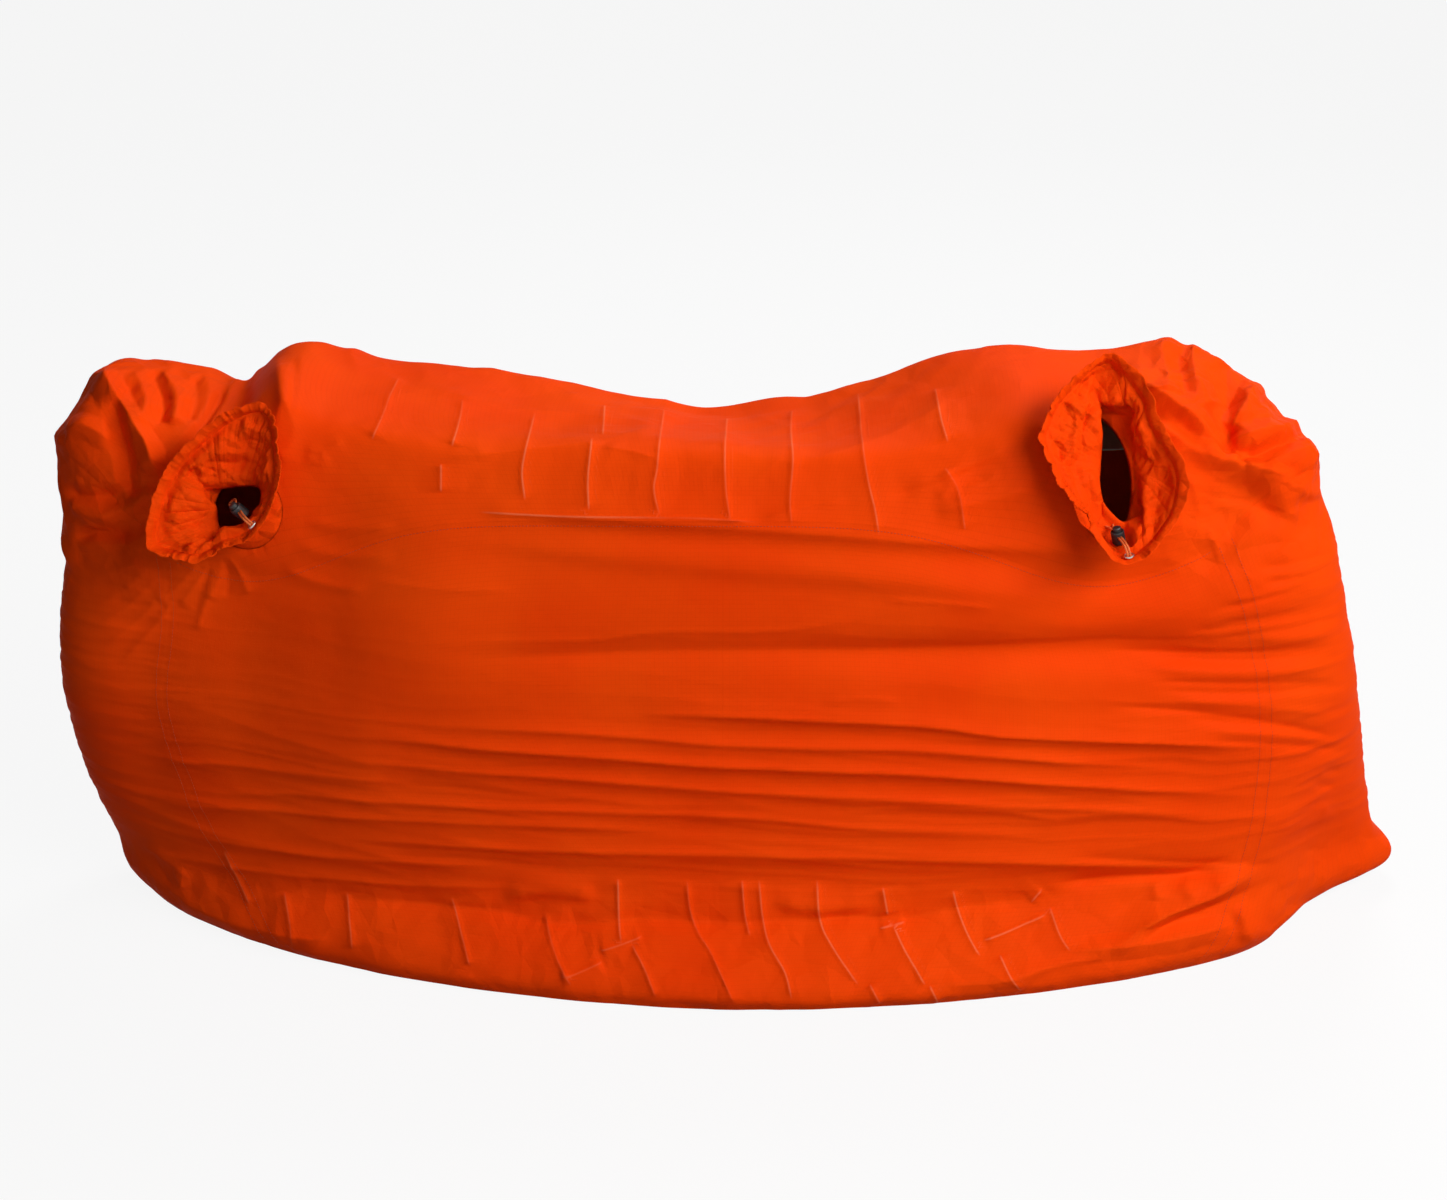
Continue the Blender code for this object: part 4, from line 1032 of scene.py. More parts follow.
def thicken(obj: Object, thickness: float, offset: float = -1.0) -> Object:
    """Give an open sheet its thickness.

    Args:
        obj: The sheet.
        thickness: Its thickness.
        offset: -1 puts it behind the outer face, 1 in front.

    Returns:
        The same object.
    """
    mod = obj.modifiers.new("Solidify", "SOLIDIFY")
    mod.thickness = thickness
    mod.offset = offset
    mod.use_even_offset = False
    return obj


def edged(count: int, margin: float) -> Array:
    """Even places from 0 to 1, with one more close to each end so that the edge stays crisp."""
    return np.concatenate([[0.0], np.linspace(margin, 1.0 - margin, count - 2), [1.0]])


def tube(path: Array, radius: float, sides: int,
         closed: bool = False) -> tuple[Array, Array]:
    """Tube along a path, its ring carried along without twisting.

    Args:
        path: Points in rows.
        radius: Half its diameter.
        sides: Points of one ring.
        closed: Whether the path comes back to its first point.

    Returns:
        Points and faces.
    """
    count = len(path)
    ahead = np.roll(path, -1, 0) - np.roll(path, 1, 0) if closed else np.gradient(path, axis=0)
    ahead /= np.linalg.norm(ahead, axis=1, keepdims=True)
    side = np.zeros_like(path)
    first = np.cross(ahead[0], (0.0, 0.0, 1.0))
    if np.linalg.norm(first) < 0.1:
        first = np.cross(ahead[0], (1.0, 0.0, 0.0))
    side[0] = first / np.linalg.norm(first)
    for i in range(1, count):
        s = side[i - 1] - ahead[i] * (side[i - 1] @ ahead[i])
        side[i] = s / np.linalg.norm(s)
    other = np.cross(ahead, side)
    a = np.arange(sides) * TAU / sides
    ring = np.cos(a)[None, :, None] * side[:, None] + np.sin(a)[None, :, None] * other[:, None]
    points = path[:, None] + radius * ring
    faces = grid_faces(count, sides, True)
    if closed:
        last = (count - 1) * sides
        j = np.arange(sides)
        k = (j + 1) % sides
        gap = ring[0] @ ring[-1].T
        turn = int(np.argmax(gap[:, 0]))
        faces = np.vstack([faces, np.stack([last + j, last + k, (k + turn) % sides, (j + turn) % sides], -1)])
        return points.reshape(-1, 3), faces
    caps = []
    for row, flip in ((0, True), (count - 1, False)):
        j = np.arange(1, sides - 1, 2)
        quad = np.stack([np.zeros_like(j), j, j + 1, np.minimum(j + 2, sides - 1)], -1) + row * sides
        caps.append(quad[:, ::-1] if flip else quad)
    return points.reshape(-1, 3), np.vstack([faces, *caps])


# Vents

# Half width of the drawcord channel, and how far each rim slides in or out
CASING_HALF = 0.0085
RIM_TRAVEL = 0.015


@dataclass(frozen=True)
class Vent:
    """One vent: a funnel of gathered cloth from a hole in the roof out to a drawcord channel.

    Pairs are half sizes or places across and up in the plane of the rim; rim_seen and slot_seen
    are outlines of the rim and of the dark slot, x and y in turn, in the photograph's pixels.
    """

    side: str
    mouth: tuple[float, float, float]
    axis: tuple[float, float, float]
    lean: float
    ring: tuple[float, float]
    shift: tuple[float, float]
    cord_angle: float
    seam_height: float
    open_hole: tuple[float, float]
    slot_depth: float
    cut: tuple[float, float]
    seed: int
    rim_seen: tuple[float, ...]
    slot_seen: tuple[float, ...]

    def matrix(self) -> Array:
        """Place of the rim: X across, Y up along it, Z out of the bag.

        Returns:
            A matrix of four rows.
        """
        out = np.array(self.axis) / np.linalg.norm(self.axis)
        up = np.array((0.0, 0.0, 1.0)) - out * out[2]
        up /= np.linalg.norm(up)
        up = np.array(Matrix.Rotation(math.radians(self.lean), 3, Vector(out)) @ Vector(up))
        m = np.eye(4)
        m[:3, 0], m[:3, 1], m[:3, 2], m[:3, 3] = np.cross(up, out), up, out, self.mouth
        return m

    def local(self, p: Array) -> Array:
        """Points in the rim's frame."""
        m = self.matrix()
        return (p - m[:3, 3]) @ m[:3, :3]

    def world(self, p: Array) -> Array:
        """Points of the rim's frame in the part's frame."""
        m = self.matrix()
        return p @ m[:3, :3].T + m[:3, 3]

    def clear_rim(self, p: Array) -> Array:
        """Cloth pushed down where the rim's casing would touch it at the low end of its slide.

        Args:
            p: Points of the cloth.

        Returns:
            The points, some of them moved along the rim's axis.
        """
        q = self.local(p)
        reach = np.hypot(q[..., 0] / self.ring[0], q[..., 1] / self.ring[1])
        beyond = np.maximum(reach - 1.15, 0.0) * min(self.ring)
        over = q[..., 2] - (0.9 * beyond - RIM_TRAVEL - CASING_HALF - 0.001)
        over = np.where(q[..., 2] < 0.03, over, -1.0)
        push = 0.5 * (over + np.hypot(over, 0.0015)) * (over > -0.006)
        return p - push[..., None] * self.matrix()[:3, 2]

    def hole_share(self, p: Array) -> Array:
        """How far points lie toward the edge of the hole in the roof.

        Args:
            p: Points in the part's frame.

        Returns:
            1 on the edge, less inside it, and a large number far off the panel.
        """
        q = self.local(p)
        x, y = (q[..., k] - self.shift[k] for k in (0, 1))
        share = np.hypot(x / self.open_hole[0], y / self.open_hole[1])
        return np.where(np.abs(q[..., 2] + self.seam_height) < 0.05, share, 9.0)


VENTS = (
    Vent("left", (-0.59819, -0.11779, 0.637), (-0.02, -0.88, 0.475), lean=-34.0, ring=(0.063, 0.106),
         shift=(0.030, -0.016), cord_angle=-12.0, seam_height=0.057, open_hole=(0.042, 0.045),
         slot_depth=0.040, cut=(0.42, 0.070), seed=41,
         rim_seen=(266, 406, 276, 428, 280, 470, 274, 498, 260, 521, 240, 536, 222, 546, 206, 558,
             190, 562, 165, 556, 150, 549, 147, 532, 151, 508, 156, 490, 166, 470, 182, 449, 204, 428,
             228, 412, 248, 404),
         slot_seen=(206, 489, 230, 487, 254, 485, 262, 492, 259, 512, 246, 522, 236, 528, 220, 536,
             217, 522, 216, 506, 208, 500)),
    Vent("right", (0.41281, -0.10879, 0.659), (0.04, -0.85, 0.52), lean=8.0, ring=(0.083, 0.118),
         shift=(0.004, -0.010), cord_angle=-84.0, seam_height=0.055, open_hole=(0.037, 0.078),
         slot_depth=0.045, cut=(0.50, 0.090), seed=57,
         rim_seen=(1040, 438, 1044, 420, 1056, 396, 1080, 371, 1098, 357, 1112, 353, 1126, 361,
             1142, 381, 1152, 396, 1158, 416, 1170, 440, 1184, 462, 1187, 486, 1182, 512, 1170, 532,
             1156, 548, 1142, 557, 1128, 560, 1112, 548, 1090, 522, 1070, 498, 1052, 468),
         slot_seen=(1099, 406, 1115, 410, 1130, 415, 1133, 428, 1133, 450, 1134, 468, 1140, 492,
             1146, 512, 1134, 518, 1121, 522, 1108, 510, 1099, 492, 1100, 470, 1102, 440)),
)


# Materials

# Height of the fine crinkle over one cell of the crinkle group, for a cell of 1 m
GRAIN_STEEPNESS = 0.004


@dataclass
class Wiring:
    """Short ways to add and join nodes in one tree."""

    tree: NodeTree

    def node(self, kind: str, values: dict[str, object] | None = None, **settings: object) -> Node:
        """Add a node.

        Args:
            kind: Its type.
            values: Values of its inputs.
            settings: Its properties.

        Returns:
            The node.
        """
        made = self.tree.nodes.new(kind)
        for key, value in settings.items():
            setattr(made, key, value)
        for key, value in (values or {}).items():
            made.inputs[key].default_value = value
        return made

    def join(self, source: object, target: NodeSocket) -> None:
        """Link a socket to another one, or set a plain value there."""
        if isinstance(source, NodeSocket):
            self.tree.links.new(source, target)
        else:
            target.default_value = source

    def maths(self, operation: str, a: object, b: object = 0.0, clamp: bool = False) -> NodeSocket:
        """Math node.

        Args:
            operation: What it does.
            a: First number or socket.
            b: Second number or socket.
            clamp: Whether the result is kept from 0 to 1.

        Returns:
            Its output.
        """
        made = self.node("ShaderNodeMath", operation=operation, use_clamp=clamp)
        self.join(a, made.inputs[0])
        self.join(b, made.inputs[1])
        return made.outputs[0]

    def scaled(self, source: object, times: float, plus: float, clamp: bool = False) -> NodeSocket:
        """Source times one number plus another.

        Args:
            source: The socket.
            times: What it is multiplied with.
            plus: What is added.
            clamp: Whether the result is kept from 0 to 1.

        Returns:
            The result.
        """
        made = self.maths("MULTIPLY_ADD", source, times, clamp)
        made.node.inputs[2].default_value = plus
        return made

    def blend(self, share: object, a: object, b: object) -> NodeSocket:
        """Mix of two colours.

        Args:
            share: 0 gives a, 1 gives b.
            a: First colour or socket.
            b: Second colour or socket.

        Returns:
            The mixed colour.
        """
        made = self.node("ShaderNodeMix", data_type="RGBA")
        for key, value in ((0, share), (6, a), (7, b)):
            self.join(value, made.inputs[key])
        return made.outputs[2]

    def background_rays(self) -> NodeSocket:
        """1 for camera, mirror and glass rays, which show the background without lighting the object.

        Returns:
            The share.
        """
        path = self.node("ShaderNodeLightPath")
        seen = self.maths("MAXIMUM", path.outputs["Is Camera Ray"], path.outputs["Is Glossy Ray"])
        return self.maths("MAXIMUM", seen, path.outputs["Is Transmission Ray"])


@dataclass
class Group:
    """A shader group under way: its tree, its wiring, and its input and output nodes."""

    name: str
    inputs: dict[str, float | None]
    outputs: tuple[str, ...]
    tree: NodeTree = field(init=False)
    wiring: Wiring = field(init=False)
    start: Node = field(init=False)
    end: Node = field(init=False)

    def __post_init__(self) -> None:
        """Make the tree with its sockets: a number for each value, a place where it is None."""
        self.tree = bpy.data.node_groups.new(self.name, "ShaderNodeTree")
        for label, value in self.inputs.items():
            kind = "NodeSocketVector" if value is None else "NodeSocketFloat"
            made = self.tree.interface.new_socket(name=label, in_out="INPUT", socket_type=kind)
            if value is not None:
                made.default_value = value
        for label in self.outputs:
            self.tree.interface.new_socket(name=label, in_out="OUTPUT", socket_type="NodeSocketFloat")
        self.wiring = Wiring(self.tree)
        self.start = self.wiring.node("NodeGroupInput")
        self.end = self.wiring.node("NodeGroupOutput")

    def given(self, label: str) -> NodeSocket:
        """An input of the group, as its nodes see it."""
        return self.start.outputs[label]

    def result(self, label: str, source: NodeSocket) -> None:
        """Send a socket to an output of the group."""
        self.wiring.join(source, self.end.inputs[label])


def ripstop_group(line_edge: float = 0.445, thread_height: float = 0.25) -> NodeTree:
    """Group: woven cloth with a thicker thread each few millimetres.

    Height is the two thread waves plus the ripstop lines; Shade is 1 on those lines.

    Args:
        line_edge: How far from a cell's middle its thicker thread starts, in cells.
        thread_height: Height of the plain threads, as a share of the thick ones.

    Returns:
        The group.
    """
    made = Group("ripstop_weave", {"Place": None, "Threads": 2200.0, "Cells": 190.0}, ("Height", "Shade"))
    w = made.wiring
    parts = w.node("ShaderNodeSeparateXYZ")
    w.join(made.given("Place"), parts.inputs[0])
    lines = []
    threads = []
    for axis in (0, 1):
        cell = w.maths("FRACT", w.maths("MULTIPLY", parts.outputs[axis], made.given("Cells")))
        edge = w.maths("ABSOLUTE", w.maths("SUBTRACT", cell, 0.5))
        lines.append(w.maths("GREATER_THAN", edge, line_edge))
        threads.append(w.maths("SINE", w.maths("MULTIPLY", parts.outputs[axis], made.given("Threads"))))
    grid = w.maths("MAXIMUM", *lines)
    weave = w.maths("MULTIPLY", *threads)
    made.result("Height", w.maths("ADD", w.maths("MULTIPLY", weave, thread_height), grid))
    made.result("Shade", grid)
    return made.tree


def crinkle_group(warp: float = 0.03, finer: float = 2.3) -> NodeTree:
    """Group: flat facets of two sizes between straight creases, a fine crinkle, and soft colour drift.

    In each cell the height climbs from the cell's edges inward or sinks, by a slope that is
    random from cell to cell. Height is in metres; Size is the number of cells in a metre.

    Args:
        warp: How far the pattern is bent, in metres.
        finer: How many times more of the smaller facets there are.

    Returns:
        The group.
    """
    made = Group("cloth_crinkle", {"Place": None, "Size": 14.0, "Slope": 0.4, "Creased": 0.0},
                 ("Height", "Drift"))
    w = made.wiring
    bend = w.node("ShaderNodeTexNoise", {"Scale": 9.0})
    w.join(made.given("Place"), bend.inputs["Vector"])
    shift = w.node("ShaderNodeVectorMath", operation="MULTIPLY_ADD")
    w.join(bend.outputs["Color"], shift.inputs[0])
    shift.inputs[1].default_value = (warp, warp, warp)
    w.join(made.given("Place"), shift.inputs[2])
    total = None
    for scale in (1.0, finer):
        count = w.maths("MULTIPLY", made.given("Size"), scale)
        edge = w.node("ShaderNodeTexVoronoi", feature="DISTANCE_TO_EDGE")
        cell = w.node("ShaderNodeTexVoronoi", feature="F1")
        for node in (edge, cell):
            w.join(shift.outputs[0], node.inputs["Vector"])
            w.join(count, node.inputs["Scale"])
        parts = w.node("ShaderNodeSeparateColor")
        w.join(cell.outputs["Color"], parts.inputs[0])
        slope = w.maths("MULTIPLY", w.maths("SUBTRACT", parts.outputs[0], 0.5), made.given("Slope"))
        climb = w.maths("DIVIDE", w.maths("MULTIPLY", edge.outputs["Distance"], slope), count)
        total = climb if total is None else w.maths("ADD", total, climb)
    total = w.maths("MULTIPLY", total, made.given("Creased"))
    fine = w.node("ShaderNodeTexNoise", {"Detail": 5.0})
    w.join(shift.outputs[0], fine.inputs["Vector"])
    w.join(w.maths("MULTIPLY", made.given("Size"), 3.0), fine.inputs["Scale"])
    grain = w.maths("DIVIDE", w.maths("MULTIPLY", fine.outputs["Fac"], GRAIN_STEEPNESS), made.given("Size"))
    made.result("Height", w.maths("ADD", total, grain))
    drift = w.node("ShaderNodeTexNoise", {"Scale": 5.0, "Detail": 4.0})
    w.join(made.given("Place"), drift.inputs["Vector"])
    made.result("Drift", drift.outputs["Fac"])
    return made.tree


def crease_group(spread: float = 0.35) -> NodeTree:
    """Group: a pressed crease, from the distance across its line.

    Line is 1 on the crest and 0 beyond Width. Height is in metres: a thin ridge on the crest.

    Args:
        spread: How steeply the ridge falls, as a share of how fast the line ends.

    Returns:
        The group.
    """
    made = Group("pressed_crease", {"Across": 0.0, "Shown": 0.0, "Width": 1.5, "Rise": 0.0005},
                 ("Line", "Height"))
    w = made.wiring
    share = w.maths("DIVIDE", w.maths("ABSOLUTE", made.given("Across")), made.given("Width"))
    line = w.maths("SUBTRACT", 1.0, share, clamp=True)
    made.result("Line", w.maths("MULTIPLY", line, made.given("Shown")))
    broad = w.maths("SUBTRACT", 1.0, w.maths("MULTIPLY", share, spread), clamp=True)
    rise = w.maths("MULTIPLY", w.maths("MULTIPLY", broad, made.given("Shown")), made.given("Rise"))
    made.result("Height", rise)
    return made.tree


def new_material(name: str) -> tuple[Material, Wiring, Node]:
    """Start a material.

    Args:
        name: Its name.

    Returns:
        The material, its wiring and its main shader.
    """
    made = bpy.data.materials.new(name)
    made.use_nodes = True
    return made, Wiring(made.node_tree), made.node_tree.nodes["Principled BSDF"]


@dataclass(frozen=True)
class ClothFinish:
    """Coated ripstop cloth: two colours it drifts between, its gloss, its crinkle, and a pale painted
    highlight along its pressed creases.

    Drift and patches are a factor and an offset on the drift of the crinkle group.
    """

    name: str
    colour: tuple[float, float, float] = (0.90, 0.070, 0.002)
    deep: tuple[float, float, float] = (0.82, 0.042, 0.001)
    drift: tuple[float, float] = (1.6, -0.3)
    roughness: float = 0.60
    rough_drift: float = 0.14
    gloss: float = 0.015
    crinkle_size: float = 14.0
    crinkle_slope: float = 0.8
    weave_height: float = 0.00007
    line_share: float = 0.10
    line_dark: float = 0.6
    crease_highlight: tuple[float, float, float] = (0.98, 0.27, 0.12)
    crease_highlight_share: float = 0.42
    patches: tuple[float, float] = (4.0, -1.45)

    def make(self, groups: dict[str, NodeTree]) -> Material:
        """Build the material.

        Args:
            groups: The shared groups.

        Returns:
            The material.
        """
        made, w, shader = new_material(self.name)
        place = w.node("ShaderNodeTexCoord")
        crinkle = w.node("ShaderNodeGroup", node_tree=groups["crinkle"])
        crinkle.inputs["Size"].default_value = self.crinkle_size
        crinkle.inputs["Slope"].default_value = self.crinkle_slope
        creased = w.node("ShaderNodeAttribute", attribute_name="creased")
        w.join(creased.outputs["Fac"], crinkle.inputs["Creased"])
        w.join(place.outputs["Object"], crinkle.inputs["Place"])
        weave = w.node("ShaderNodeGroup", node_tree=groups["weave"])
        w.join(place.outputs["UV"], weave.inputs["Place"])
        share = w.scaled(crinkle.outputs["Drift"], *self.drift, clamp=True)
        body = w.blend(share, (*self.deep, 1.0), (*self.colour, 1.0))
        line = w.maths("MULTIPLY", weave.outputs["Shade"], self.line_share)
        body = w.blend(line, body, (*[c * self.line_dark for c in self.deep], 1.0))
        crease = w.node("ShaderNodeGroup", node_tree=groups["crease"])
        for label, name in (("Across", "crease_across"), ("Shown", "crease_shown")):
            w.join(w.node("ShaderNodeAttribute", attribute_name=name).outputs["Fac"], crease.inputs[label])
        # A pale line painted along each pressed crease and broken into patches: a painted highlight of the
        # lit crest.
        patchy = w.scaled(crinkle.outputs["Drift"], *self.patches, clamp=True)
        painted_highlight = w.maths("MULTIPLY", w.maths("MULTIPLY", crease.outputs["Line"], patchy), self.crease_highlight_share)
        w.join(w.blend(painted_highlight, body, (*self.crease_highlight, 1.0)), shader.inputs["Base Color"])
        rough = w.scaled(crinkle.outputs["Drift"], self.rough_drift, self.roughness - self.rough_drift / 2)
        w.join(rough, shader.inputs["Roughness"])
        coarse = w.node("ShaderNodeBump", {"Distance": 1.0, "Strength": 1.0})
        w.join(w.maths("ADD", crinkle.outputs["Height"], crease.outputs["Height"]), coarse.inputs["Height"])
        fine = w.node("ShaderNodeBump", {"Distance": self.weave_height, "Strength": 1.0})
        w.join(weave.outputs["Height"], fine.inputs["Height"])
        w.join(coarse.outputs["Normal"], fine.inputs["Normal"])
        w.join(fine.outputs["Normal"], shader.inputs["Normal"])
        shader.inputs["Specular IOR Level"].default_value = self.gloss
        made.diffuse_color = (*self.colour, 1.0)
        return made


@dataclass(frozen=True)
class HardFinish:
    """Moulded plastic, plated metal, thread or cord: a colour, its gloss, and a fine grain."""

    name: str
    colour: tuple[float, float, float]
    roughness: float
    metallic: float = 0.0
    grain: float = 900.0
    depth: float = 0.00008
    drift: float = 0.12
    rough_drift: float = 0.16

    def make(self, groups: dict[str, NodeTree]) -> Material:
        """Build the material.

        Args:
            groups: The shared groups.

        Returns:
            The material.
        """
        made, w, shader = new_material(self.name)
        place = w.node("ShaderNodeTexCoord")
        crinkle = w.node("ShaderNodeGroup", {"Size": self.grain}, node_tree=groups["crinkle"])
        w.join(place.outputs["Object"], crinkle.inputs["Place"])
        dark = (*[c * (1 - self.drift) for c in self.colour], 1.0)
        w.join(w.blend(crinkle.outputs["Drift"], dark, (*self.colour, 1.0)), shader.inputs["Base Color"])
        rough = w.scaled(crinkle.outputs["Drift"], self.rough_drift, self.roughness - self.rough_drift / 2)
        w.join(rough, shader.inputs["Roughness"])
        bump = w.node("ShaderNodeBump", {"Distance": self.depth * self.grain / GRAIN_STEEPNESS})
        w.join(crinkle.outputs["Height"], bump.inputs["Height"])
        w.join(bump.outputs["Normal"], shader.inputs["Normal"])
        shader.inputs["Metallic"].default_value = self.metallic
        made.diffuse_color = (*self.colour, 1.0)
        return made


FINISHES = {
    "cloth": ClothFinish("coated_ripstop_orange"),
    "collar": ClothFinish("coated_ripstop_vent", crinkle_size=26.0),
    "hem": ClothFinish("ripstop_hem", colour=(0.76, 0.062, 0.003), crinkle_size=40.0),
    "tape": HardFinish("seam_tape_film", (0.62, 0.34, 0.24), 0.34, grain=160.0, depth=0.0004),
    "thread": HardFinish("sewing_thread", (0.50, 0.045, 0.008), 0.62, grain=1500.0),
    "cord": HardFinish("elastic_braid", (0.80, 0.16, 0.03), 0.66, grain=1400.0, depth=0.0003),
    "black": HardFinish("black_moulding", (0.014, 0.014, 0.015), 0.42),
    "steel": HardFinish("plated_wire", (0.60, 0.58, 0.54), 0.26, metallic=1.0),
}


# Sub-assemblies

@dataclass
class Kit:
    """What every builder shares: the drape and the materials."""

    drape: Drape
    materials: dict[str, Material]

    def keep(self, piece: Object, finish: str, body: str, nodes: tuple[str, ...], slot: str) -> None:
        """Dress a piece, make it ride on its body and hide the CAD nodes that it replaces.

        Args:
            piece: The new object.
            finish: Key of its material.
            body: Body that it rides on, or nothing for a piece that is left unattached.
            nodes: CAD nodes that it replaces.
            slot: Not used.
        """
        piece.data.materials.clear()
        piece.data.materials.append(self.materials[finish])
        if body:
            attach(piece, body)
        if nodes:
            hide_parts(*nodes)
        LOG.info("%s: %d faces, %s", piece.name, len(piece.data.polygons), body or "bends between two bodies")


@dataclass
class Walls:
    """The four wall panels, each one sheet from its hem on the floor up to the roof seam."""

    kit: Kit
    floor_rows: int = 6
    side_margin: float = 0.0008
    end_margin: float = 0.0012
    sides: tuple[tuple[str, float, int, int], ...] = (
        ("front", 0.0, 420, 230),
        ("right_end", 1.0, 150, 190),
        ("back", 2.0, 330, 190),
        ("left_end", 3.0, 150, 190),
    )

    def rows(self, start: float, count: int) -> Array:
        """Wall heights for even steps up the cloth, with wider steps on the floor.

        Args:
            start: Where the wall starts round the bag.
            count: Rows from the floor up.

        Returns:
            The heights, from -1 at the hem to 1 at the seam.
        """
        v = np.linspace(0.0, 1.0, 800)
        run = arc_length(self.kit.drape.wall(start + 0.5, v))
        up = np.interp(edged(count, self.end_margin) * run[-1], run, v)
        return np.concatenate([np.linspace(-1.0, 0.0, self.floor_rows + 1)[:-1], up])

    def build(self) -> None:
        """Make and dress the four walls."""
        drape = self.kit.drape
        for side, start, cols, count in self.sides:
            u = start + edged(cols, self.side_margin)
            v = self.rows(start, count)
            base = drape.wall(u[None, :], v[:, None])
            points = base + (drape.dressed(base) - base) * ramp(-0.25, 0.0, v)[:, None, None]
            run = arc_length(base[:, cols // 2])
            across = (drape.cut_length if start in (0.0, 2.0) else drape.cut_depth) * (u - start)
            uv = np.stack(np.broadcast_arrays(across[None, :], run[:, None]), -1)
            piece = put_grid(side + "_wall_cloth", points, uv, creased=drape.creased(points),
                             lines=drape.crease_lines(base))
            self.kit.keep(piece, "cloth", "shelter", (side + "_panel",), "ripstop_nylon_orange")


@dataclass
class Roof:
    """The roof panel, with the holes that its vents are sewn into."""

    kit: Kit
    cols: int = 470
    rows: int = 206
    end_margin: float = 0.0006
    side_margin: float = 0.002
    at_edge: tuple[float, float] = (0.86, 1.10)
    cut_out: float = 1.004

    def places(self) -> tuple[Array, Array]:
        """Grid lines, closer together over the two corners.

        Returns:
            Places from left to right and from front to back, 0 to 1.
        """
        t = np.linspace(0.0, 1.0, 2001)
        dense = 1.0 + 0.8 * ramp(0.22, 0.10, t) + 0.8 * ramp(0.72, 0.84, t)
        run = np.concatenate([[0.0], np.cumsum(0.5 * (dense[1:] + dense[:-1]))])
        across = np.interp(edged(self.cols, self.end_margin), run / run[-1], t)
        return across, edged(self.rows, self.side_margin)

    def on_holes(self, points: Array) -> Array:
        """Cloth with its points near a hole moved onto the hole's edge.

        Args:
            points: Points of the roof.

        Returns:
            The same points, some of them moved.
        """
        for vent in VENTS:
            share = vent.hole_share(points)
            near = (share > self.at_edge[0]) & (share < self.at_edge[1])
            q = vent.local(points[near])
            q[:, :2] = (q[:, :2] - vent.shift) / share[near][:, None] + vent.shift
            points[near] = vent.world(q)
        return points

    def build(self) -> Array:
        """Make the roof.

        Returns:
            Its points, for the collars.
        """
        drape = self.kit.drape
        t, s = self.places()
        base = drape.roof(t[None, :], s[:, None])
        points = self.on_holes(drape.dressed(base))
        uv = np.stack(np.meshgrid(t * drape.cut_length, s * drape.roof_depth), -1)
        faces = grid_faces(self.rows, self.cols)
        flat = points.reshape(-1, 3)
        inside = np.zeros(len(flat), bool)
        for vent in VENTS:
            inside |= vent.hole_share(flat) < self.cut_out
        used, faces = np.unique(faces[~inside[faces].all(1)], return_inverse=True)
        piece = put_mesh("roof_cloth", flat[used], faces.reshape(-1, 4), uv.reshape(-1, 2)[used],
                         drape.creased(flat[used]), drape.crease_lines(base.reshape(-1, 3)[used]))
        self.kit.keep(piece, "cloth", "shelter", ("roof_panel",), "ripstop_nylon_orange")
        return points


# Corners of the bag, in the order in which places run round it
CORNERS = ("front_left", "front_right", "back_right", "back_left")


@dataclass
class SeamTapes:
    """Film tapes on the inside of the corner and roof seams."""

    kit: Kit
    half: float = 0.010
    behind: float = 0.0070
    thick: float = 0.00025

    def strip(self, name: str, base: Array, node: str) -> None:
        """Make one tape: the dressed cloth round a seam, set back to its inside.

        Args:
            name: Name of the tape.
            base: Points of the base surface on both sides of the seam.
            node: CAD node that it replaces.
        """
        drape = self.kit.drape
        points = drape.dressed(base) - drape.outward(base) * self.behind
        piece = thicken(put_grid(name, points), self.thick)
        self.kit.keep(piece, "tape", "shelter", (node,), "seam_tape")

    def build(self) -> None:
        """Make all eight tapes."""
        drape = self.kit.drape
        up = np.linspace(0.035, 0.975, 150)
        steps = (self.half / drape.cut_depth, self.half / drape.cut_length)
        for at, corner in enumerate(CORNERS):
            before, after = steps if at % 2 == 0 else steps[::-1]
            u = np.concatenate([at - np.linspace(before, 0, 4), at + np.linspace(0, after, 4)[1:]])
            base = drape.wall(np.mod(u, 4.0)[None, :], up[:, None])
            self.strip(corner + "_corner_tape", base, corner + "_seam_tape")
        low = np.linspace(1.0 - self.half / drape.wall_height, 1.0, 4)[:, None]
        deep = np.linspace(0.0, self.half / drape.roof_depth, 4)[1:, None]
        wide = np.linspace(0.0, self.half / drape.cut_length, 4)[1:, None]
        t, s = np.linspace(0.02, 0.98, 300)[None, :], np.linspace(0.06, 0.94, 90)[None, :]
        strips = (
            ("front", drape.wall(t, low), drape.roof(t, deep)),
            ("back", drape.wall(2.0 + t, low), drape.roof(1.0 - t, 1.0 - deep)),
            ("right", drape.wall(1.0 + s, low), drape.roof(1.0 - wide, s)),
            ("left", drape.wall(3.0 + s, low), drape.roof(wide, 1.0 - s)),
        )
        for side, wall, roof in strips:
            self.strip(f"roof_{side}_edge_tape", np.concatenate([wall, roof]), f"roof_{side}_seam_tape")


